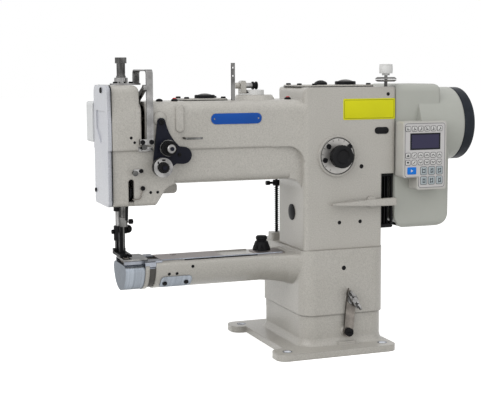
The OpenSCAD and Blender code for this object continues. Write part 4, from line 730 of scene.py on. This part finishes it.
def needle_trim():
    """Bush of the presser bar and the screws of the needle bar and the outer foot."""
    piece("presser_bush", [collar(4.8, 7.2, 14.6)], "top", PRESSER_BUSH, "black_oxide")
    thumb = [(0, 14.6), (2.8, 14.1), (5.2, 12.3), (6.3, 9.6), (6.3, 7.2), (3.0, 6.6), (3.0, 0)]
    piece("foot_thumb_screw", [turned(thumb)], "right", FOOT_THUMB_SCREW, "black_oxide", "presser")
    clamp = [(0, 5.6), (3.2, 5.4), (3.8, 4.8), (3.8, -0.3), (0, -0.3)]
    piece("clamp_thumb_screw", [turned(clamp)], "right", CLAMP_THUMB_SCREW, "black_oxide", "needle_bar")
    piece("foot_side_screw", [screw(3.4, 4.0, turn=15)], "left", FOOT_SIDE_SCREW, "black_oxide",
          "presser")


def on_bed(x, z, lift=0.0):
    """Face and place of a screw on the bed's round front."""
    drop = (z - BED_AXIS[1]) / (BED_RADIUS + lift)
    out = (0.0, -math.sqrt(1 - drop * drop), drop)
    place = [a + (BED_RADIUS + lift) * o for a, o in zip((x, *BED_AXIS), out)]
    return ((1, 0, 0), out), (x, place[1], place[2])


def bed_wrap(x0, x1, r, start, end):
    """Thin strip bent round the bed, from start to end degrees below its front."""
    bm = bmesh.new()
    line = [bm.verts.new((x, BED_AXIS[0] - r, BED_AXIS[1])) for x in (x0, x1)]
    edge = bm.edges.new(line)
    middle = (0, *BED_AXIS)
    bmesh.ops.rotate(bm, cent=middle, matrix=Matrix.Rotation(math.radians(start), 3, "X"), verts=line)
    bmesh.ops.spin(bm, geom=[*line, edge], cent=middle, axis=(1, 0, 0), angle=math.radians(end - start),
                   steps=32)
    bmesh.ops.solidify(bm, geom=bm.faces, thickness=WRAP_THICK)
    return bm


def bed_trim():
    """Screws on the bed's front, rails and edges of the slide plate, a black strip painted as the shadow
    under its front edge, and the rings at the hook's end.
    """
    for i, (x, z) in enumerate(BED_COVER_SCREWS):
        piece(f"bed_cover_screw_{i}", [screw(3.6, 2.0, turn=30 + 70 * i)], *on_bed(x, z, BED_COVER_THICK),
              "black_oxide")
    for i, (x, z) in enumerate(BED_SET_SCREWS):
        piece(f"bed_set_screw_{i}", [set_screw(2.4)], *on_bed(x, z), "black_oxide")
    rails = [slab((153, 3.3, 0.25), (-187, y, RAILS_Z)) for y in RAILS_Y]
    rails.append(slab((48, 47, 1.0), (-85.5, AXIS_Y, DECK), corner=9, rim=0.3))
    piece("slide_rails", rails, "top", ORIGIN, "slide_steel")
    piece("slide_edge", [slab((192, 1.9, 0.6), (-167, 155.4, 0), rim=0.2)], "front",
          (0, SLIDE_EDGE_FRONT, 0), "edge_silver")
    # Black strip under the slide plate's front edge: painted shadow
    piece("slide_shadow_strip", [slab((116, 1.3, 0.5), (-170, 153.75, 0))], "front",
          (0, SHADOW_FRONT, 0), "black_plastic")
    piece("carrier_ring", [bed_wrap(-290.4, -284.1, BED_RADIUS + 0.3, -4, 184)], "top", ORIGIN,
          "cast_paint")
    piece("shuttle_cover", [bed_wrap(-283.8, -274.3, BED_RADIUS - 2.1, 3, 177)], "top", ORIGIN,
          "cover_grey")


def winder_trim():
    """Upright, hub and tube of the bobbin winder, and the dishes and cap of the pre-tension."""
    upright = slab((8.6, 14.6, 18.8), (-125, AXIS_Y, WINDER_PLATE_TOP), corner=1.2, rim=3.0)
    piece("winder_upright", [upright], "top", ORIGIN, "cast_paint")
    hub = [(0, 6.6), (3.6, 6.6), (4.5, 5.8), (4.5, 0), (0, 0)]
    piece("winder_hub", [turned(hub)], "left", (WINDER_HUB_X, AXIS_Y, WINDER_Z), "cast_paint",
          "bobbin_winder")
    piece("winder_tube", [collar(2.8, 4.0, 11.4)], "right", (WINDER_TUBE_X, AXIS_Y, WINDER_Z),
          "bright_steel")
    lower = [(3, 413.9), (13.4, 413.9), (16.4, 416.0), (16.2, 416.9), (13.1, 416.7), (3, 416.7),
             (3, 413.9)]
    upper = [(r, 2 * DISHES_MIDDLE - z) for r, z in lower]
    piece("pretension_dishes", [turned(side, steps=48) for side in (lower, upper)], "top", PRETENSION,
          "bright_steel")
    cap = [(2.9, 440.9), (7.0, 440.8), (9.1, 439.7), (10.4, 437.2), (10.4, 428.6), (9.9, 426.8),
           (8.6, 426.4), (8.6, 427.4), (2.9, 439.9), (2.9, 440.9)]
    piece("pretension_cap", [turned(cap, steps=48)], "top", PRETENSION, "white_knob", "pretension_knob")
    screws = [screw(2.6, 1.8, (-118, y, WINDER_PLATE_TOP), 20) for y in (-35, -27)]
    piece("winder_screws", screws, "top", ORIGIN, "black_oxide")


# Springs, in metres


def coil_spring():
    """Lift rod's spring, its coils copied from the frame's spring into a piece of their own."""
    bm = bmesh.new()
    bm.from_mesh(frame["nodes"]["lift_spring"].data)
    bmesh.ops.remove_doubles(bm, verts=bm.verts, dist=1e-6)
    bmesh.ops.scale(bm, vec=(1 / MM, 1 / MM, 1 / MM), verts=bm.verts)
    coils = piece("lift_spring_coils", [bm], "top", ORIGIN, "black_oxide")
    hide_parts("lift_spring")
    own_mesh(coils)


def leaf_blade():
    """Leaf spring, held under the pressure screw: a flat blade in 21 steps along its length, in place of
    the frame's.
    """
    low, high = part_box("leaf_spring")
    middle = (low + high) / 2
    bm = slab((high - low) / MM, (middle.x / MM, middle.y / MM, low.z / MM))
    lengthwise = [e for e in bm.edges if abs(e.verts[0].co.y - e.verts[1].co.y) > 1]
    bmesh.ops.subdivide_edges(bm, edges=lengthwise, cuts=20, use_grid_fill=True)
    blade = piece("leaf_blade", [bm], "top", ORIGIN, "ground_steel", None)
    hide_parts("leaf_spring")
    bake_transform(blade)


# Control panel

PANEL_FRONT = -105.0
PANEL = (0, PANEL_FRONT, 0)
KEY_COLUMNS = (118.4, 129.4, 140.4, 151.4, 162.4, 173.4)
KEY_ROWS = (341.6, 300.6, 289.6)
WIDE_COLUMNS = (146.2, 160.0, 173.8)
WIDE_ROWS = (276.4, 261.2)
START_KEY_Z = 277
DISPLAY_Z = 321.9
KEY_TOP = 0.95
FILM, RIM_FOOT, KEY_FOOT = 0.35, 0.3, 0.35


def mark(size, at, turn=0.0):
    """Printed bar on a key."""
    bm = slab((*size, 0.06))
    swing(bm, turn)
    bmesh.ops.translate(bm, vec=(*at, KEY_TOP), verts=bm.verts)
    return bm


def triangle(size, at, turn):
    """Printed triangle on a key."""
    bm = bmesh.new()
    bmesh.ops.create_cone(bm, cap_ends=True, segments=3, radius1=size, radius2=size, depth=0.08)
    swing(bm, turn)
    bmesh.ops.translate(bm, vec=(*at, KEY_TOP), verts=bm.verts)
    return bm


def chevron(at, way):
    """Printed chevron on a key, pointing up or down."""
    return [mark((3.6, 1.0), (at[0] + side * 1.15, at[1]), -side * way * 45) for side in (-1, 1)]


def membrane_outline():
    """Path round the membrane, with its lower left corner left out for the housing behind it."""
    left, notch, right = 113.4, 137.4, 182.6
    low, step, high = 250.4, 267.4, 349.6
    r = 4.0
    path = [*arc((left + r, high - r, 0), r, 180, 90, 5), *arc((right - r, high - r, 0), r, 90, 0, 5),
            *arc((right - r, low + r, 0), r, 0, -90, 5), *arc((notch + r, low + r, 0), r, -90, -180, 5),
            (notch, step, 0), *arc((left + r, step + r, 0), r, -90, -180, 5)]
    return [*path, path[0]]


def key_marks(wide):
    """Plain bars, triangles and chevrons on the keys."""
    marks = []
    for i, x in enumerate(KEY_COLUMNS):
        marks.append(mark((4.4, 1.0), (x, KEY_ROWS[0] - 1.4), 14 * (i % 3)))
        marks.append(mark((1.0, 3.6), (x + i % 3 - 1, KEY_ROWS[0] + 0.6), 30 * (i % 2)))
        if i == 0:
            marks += [triangle(2.7, (x, KEY_ROWS[1] - 0.4), 0),
                      triangle(2.7, (x, KEY_ROWS[2] + 0.4), 180)]
        elif i == 1:
            marks += [mark((4.8, 1.0), (x, KEY_ROWS[1]), 45), mark((4.8, 1.0), (x, KEY_ROWS[2]), 45)]
        else:
            marks += chevron((x, KEY_ROWS[1]), 1) + chevron((x, KEY_ROWS[2]), -1)
    for i, (x, z) in enumerate(wide):
        marks += [mark((1.0, 7.6), (x - 2.2 + i % 2, z)), mark((1.0, 7.6), (x + 2.2, z))]
        marks += [mark((3.6, 1.0), (x, z + k), 20 * (i % 3)) for k in (-2.6, 2.0)]
    return marks


def keypad():
    """Membrane, display frame and keys of the control panel."""
    sheets = ((71, 15.6, 148, 342.6), (9.6, 25.8, 117.3, DISPLAY_Z), (8.6, 25.8, 179.2, DISPLAY_Z),
              (71, 42.5, 148, 287.75), (46, 16.9, 160.5, 258.05))
    film = [slab((w, h, FILM), (x, z, 0)) for w, h, x, z in sheets]
    piece("key_membrane", film, "front", PANEL, "key_film")
    piece("membrane_line", [wire(membrane_outline(), 0.5, 6)], "front", (0, PANEL_FRONT - 0.1, 0),
          "key_line")
    bars = [slab((2.4, 25.8, 0.5), (x, DISPLAY_Z, 0)) for x in (123.3, 173.7)]
    bars += [slab((48.0, 2.4, 0.5), (148.5, z, 0)) for z in (310.2, 333.6)]
    piece("display_frame", bars, "front", PANEL, "key_ink")
    small = [(x, z) for z in KEY_ROWS for x in KEY_COLUMNS]
    wide = [(x, z) for z in WIDE_ROWS for x in WIDE_COLUMNS]
    rims = [slab((9.4, 8.8, 0.3), (x, z, RIM_FOOT), corner=2.4) for x, z in small]
    rims += [slab((12.2, 13.4, 0.3), (x, z, RIM_FOOT), corner=2.6) for x, z in wide]
    piece("key_rims", rims, "front", PANEL, "key_line")
    piece("small_keys", [slab((7.8, 7.2, 0.6), (x, z, KEY_FOOT), corner=1.8, rim=0.15) for x, z in small],
          "front", PANEL, "key_pale")
    piece("wide_keys", [slab((10.6, 11.8, 0.6), (x, z, KEY_FOOT), corner=1.9, rim=0.15) for x, z in wide],
          "front", PANEL, "key_ice")
    start = slab((15.4, 11.2, 0.6), (125.3, START_KEY_Z, KEY_FOOT), corner=1.4, rim=0.15)
    piece("start_key", [start], "front", PANEL, "key_blue")
    piece("start_mark", [triangle(2.6, (125.0, START_KEY_Z), -90)], "front", PANEL, "key_pale")
    piece("key_marks", key_marks(wide), "front", PANEL, "key_ink")


column_trim()
wing_screw_trim()
stitch_dial_trim()
name_plate()
arm_rib()
top_trim()
head_trim()
tension_trim()
needle_trim()
bed_trim()
winder_trim()
coil_spring()
leaf_blade()
keypad()

# Light, floor and backdrop

MACHINE_MIDDLE = (-0.06, -0.03, 0.22)
FILL_LIGHT = 0.58
PURE_WHITE = (1.0, 1.0, 1.0, 1.0)
FLOOR_PALE = (0.62, 0.62, 0.61, 1.0)
FLOOR_GLOW = 0.74
FLOOR_SIZE = 15


def area_lamp(name, place, width, height, power):
    """Soft rectangular lamp turned to the machine."""
    data = bpy.data.lights.new(name, "AREA")
    data.shape = "RECTANGLE"
    data.size = width
    data.size_y = height
    data.energy = power
    lamp = bpy.data.objects.new(name, data)
    aim = (Vector(MACHINE_MIDDLE) - Vector(place)).to_track_quat("-Z", "Y")
    lamp.matrix_world = Matrix.Translation(place) @ aim.to_matrix().to_4x4()
    bpy.context.scene.collection.objects.link(lamp)


def seen_ray(tree):
    """1 for what the camera sees directly, in a reflection or through glass."""
    path = add_node(tree, "ShaderNodeLightPath").outputs
    seen = add_node(tree, "ShaderNodeMath", {0: path["Is Camera Ray"], 1: path["Is Glossy Ray"]},
                    operation="MAXIMUM").outputs["Value"]
    return add_node(tree, "ShaderNodeMath", {0: seen, 1: path["Is Transmission Ray"]},
                    operation="MAXIMUM").outputs["Value"]


def light_world():
    """White where it is seen, and a plain fill elsewhere."""
    world = bpy.data.worlds.new("studio")
    bpy.context.scene.world = world
    world.use_nodes = True
    tree = world.node_tree
    plain = tree.nodes["Background"]
    plain.inputs["Color"].default_value = PURE_WHITE
    plain.inputs["Strength"].default_value = FILL_LIGHT
    white = add_node(tree, "ShaderNodeBackground", {"Color": PURE_WHITE, "Strength": 1.0})
    mix = add_node(tree, "ShaderNodeMixShader", {"Fac": seen_ray(tree)})
    tree.links.new(plain.outputs["Background"], mix.inputs[1])
    tree.links.new(white.outputs["Background"], mix.inputs[2])
    tree.links.new(mix.outputs["Shader"], tree.nodes["World Output"].inputs["Surface"])


def pale_floor_material():
    """Matt floor that glows a little where it is seen."""
    material = bpy.data.materials.new("pale_floor")
    material.use_nodes = True
    tree = material.node_tree
    tree.nodes.remove(tree.nodes["Principled BSDF"])
    matt = add_node(tree, "ShaderNodeBsdfDiffuse", {"Color": FLOOR_PALE})
    glow = add_node(tree, "ShaderNodeEmission", {"Color": PURE_WHITE, "Strength": FLOOR_GLOW})
    both = add_node(tree, "ShaderNodeAddShader")
    tree.links.new(matt.outputs["BSDF"], both.inputs[0])
    tree.links.new(glow.outputs["Emission"], both.inputs[1])
    mix = add_node(tree, "ShaderNodeMixShader", {"Fac": seen_ray(tree)})
    tree.links.new(matt.outputs["BSDF"], mix.inputs[1])
    tree.links.new(both.outputs["Shader"], mix.inputs[2])
    tree.links.new(mix.outputs["Shader"], tree.nodes["Material Output"].inputs["Surface"])
    return material


def lay_floor():
    """Pale floor that looks white where it is lit and keeps the machine's soft shadow."""
    bm = bmesh.new()
    bmesh.ops.create_grid(bm, x_segments=2, y_segments=2, size=FLOOR_SIZE)
    mesh = bpy.data.meshes.new("floor")
    bm.to_mesh(mesh)
    bm.free()
    mesh.materials.append(pale_floor_material())
    floor = bpy.data.objects.new("floor", mesh)
    bpy.context.scene.collection.objects.link(floor)


light_world()
area_lamp("key_lamp", (-2.4, -1.25, 1.6), 3.0, 2.2, 43)
area_lamp("fill_lamp", (1.2, -2.2, 0.9), 2.4, 2.0, 9)
area_lamp("top_lamp", (-0.1, -0.5, 2.2), 3.0, 2.4, 15)
lay_floor()
bpy.context.scene.view_settings.view_transform = "Standard"
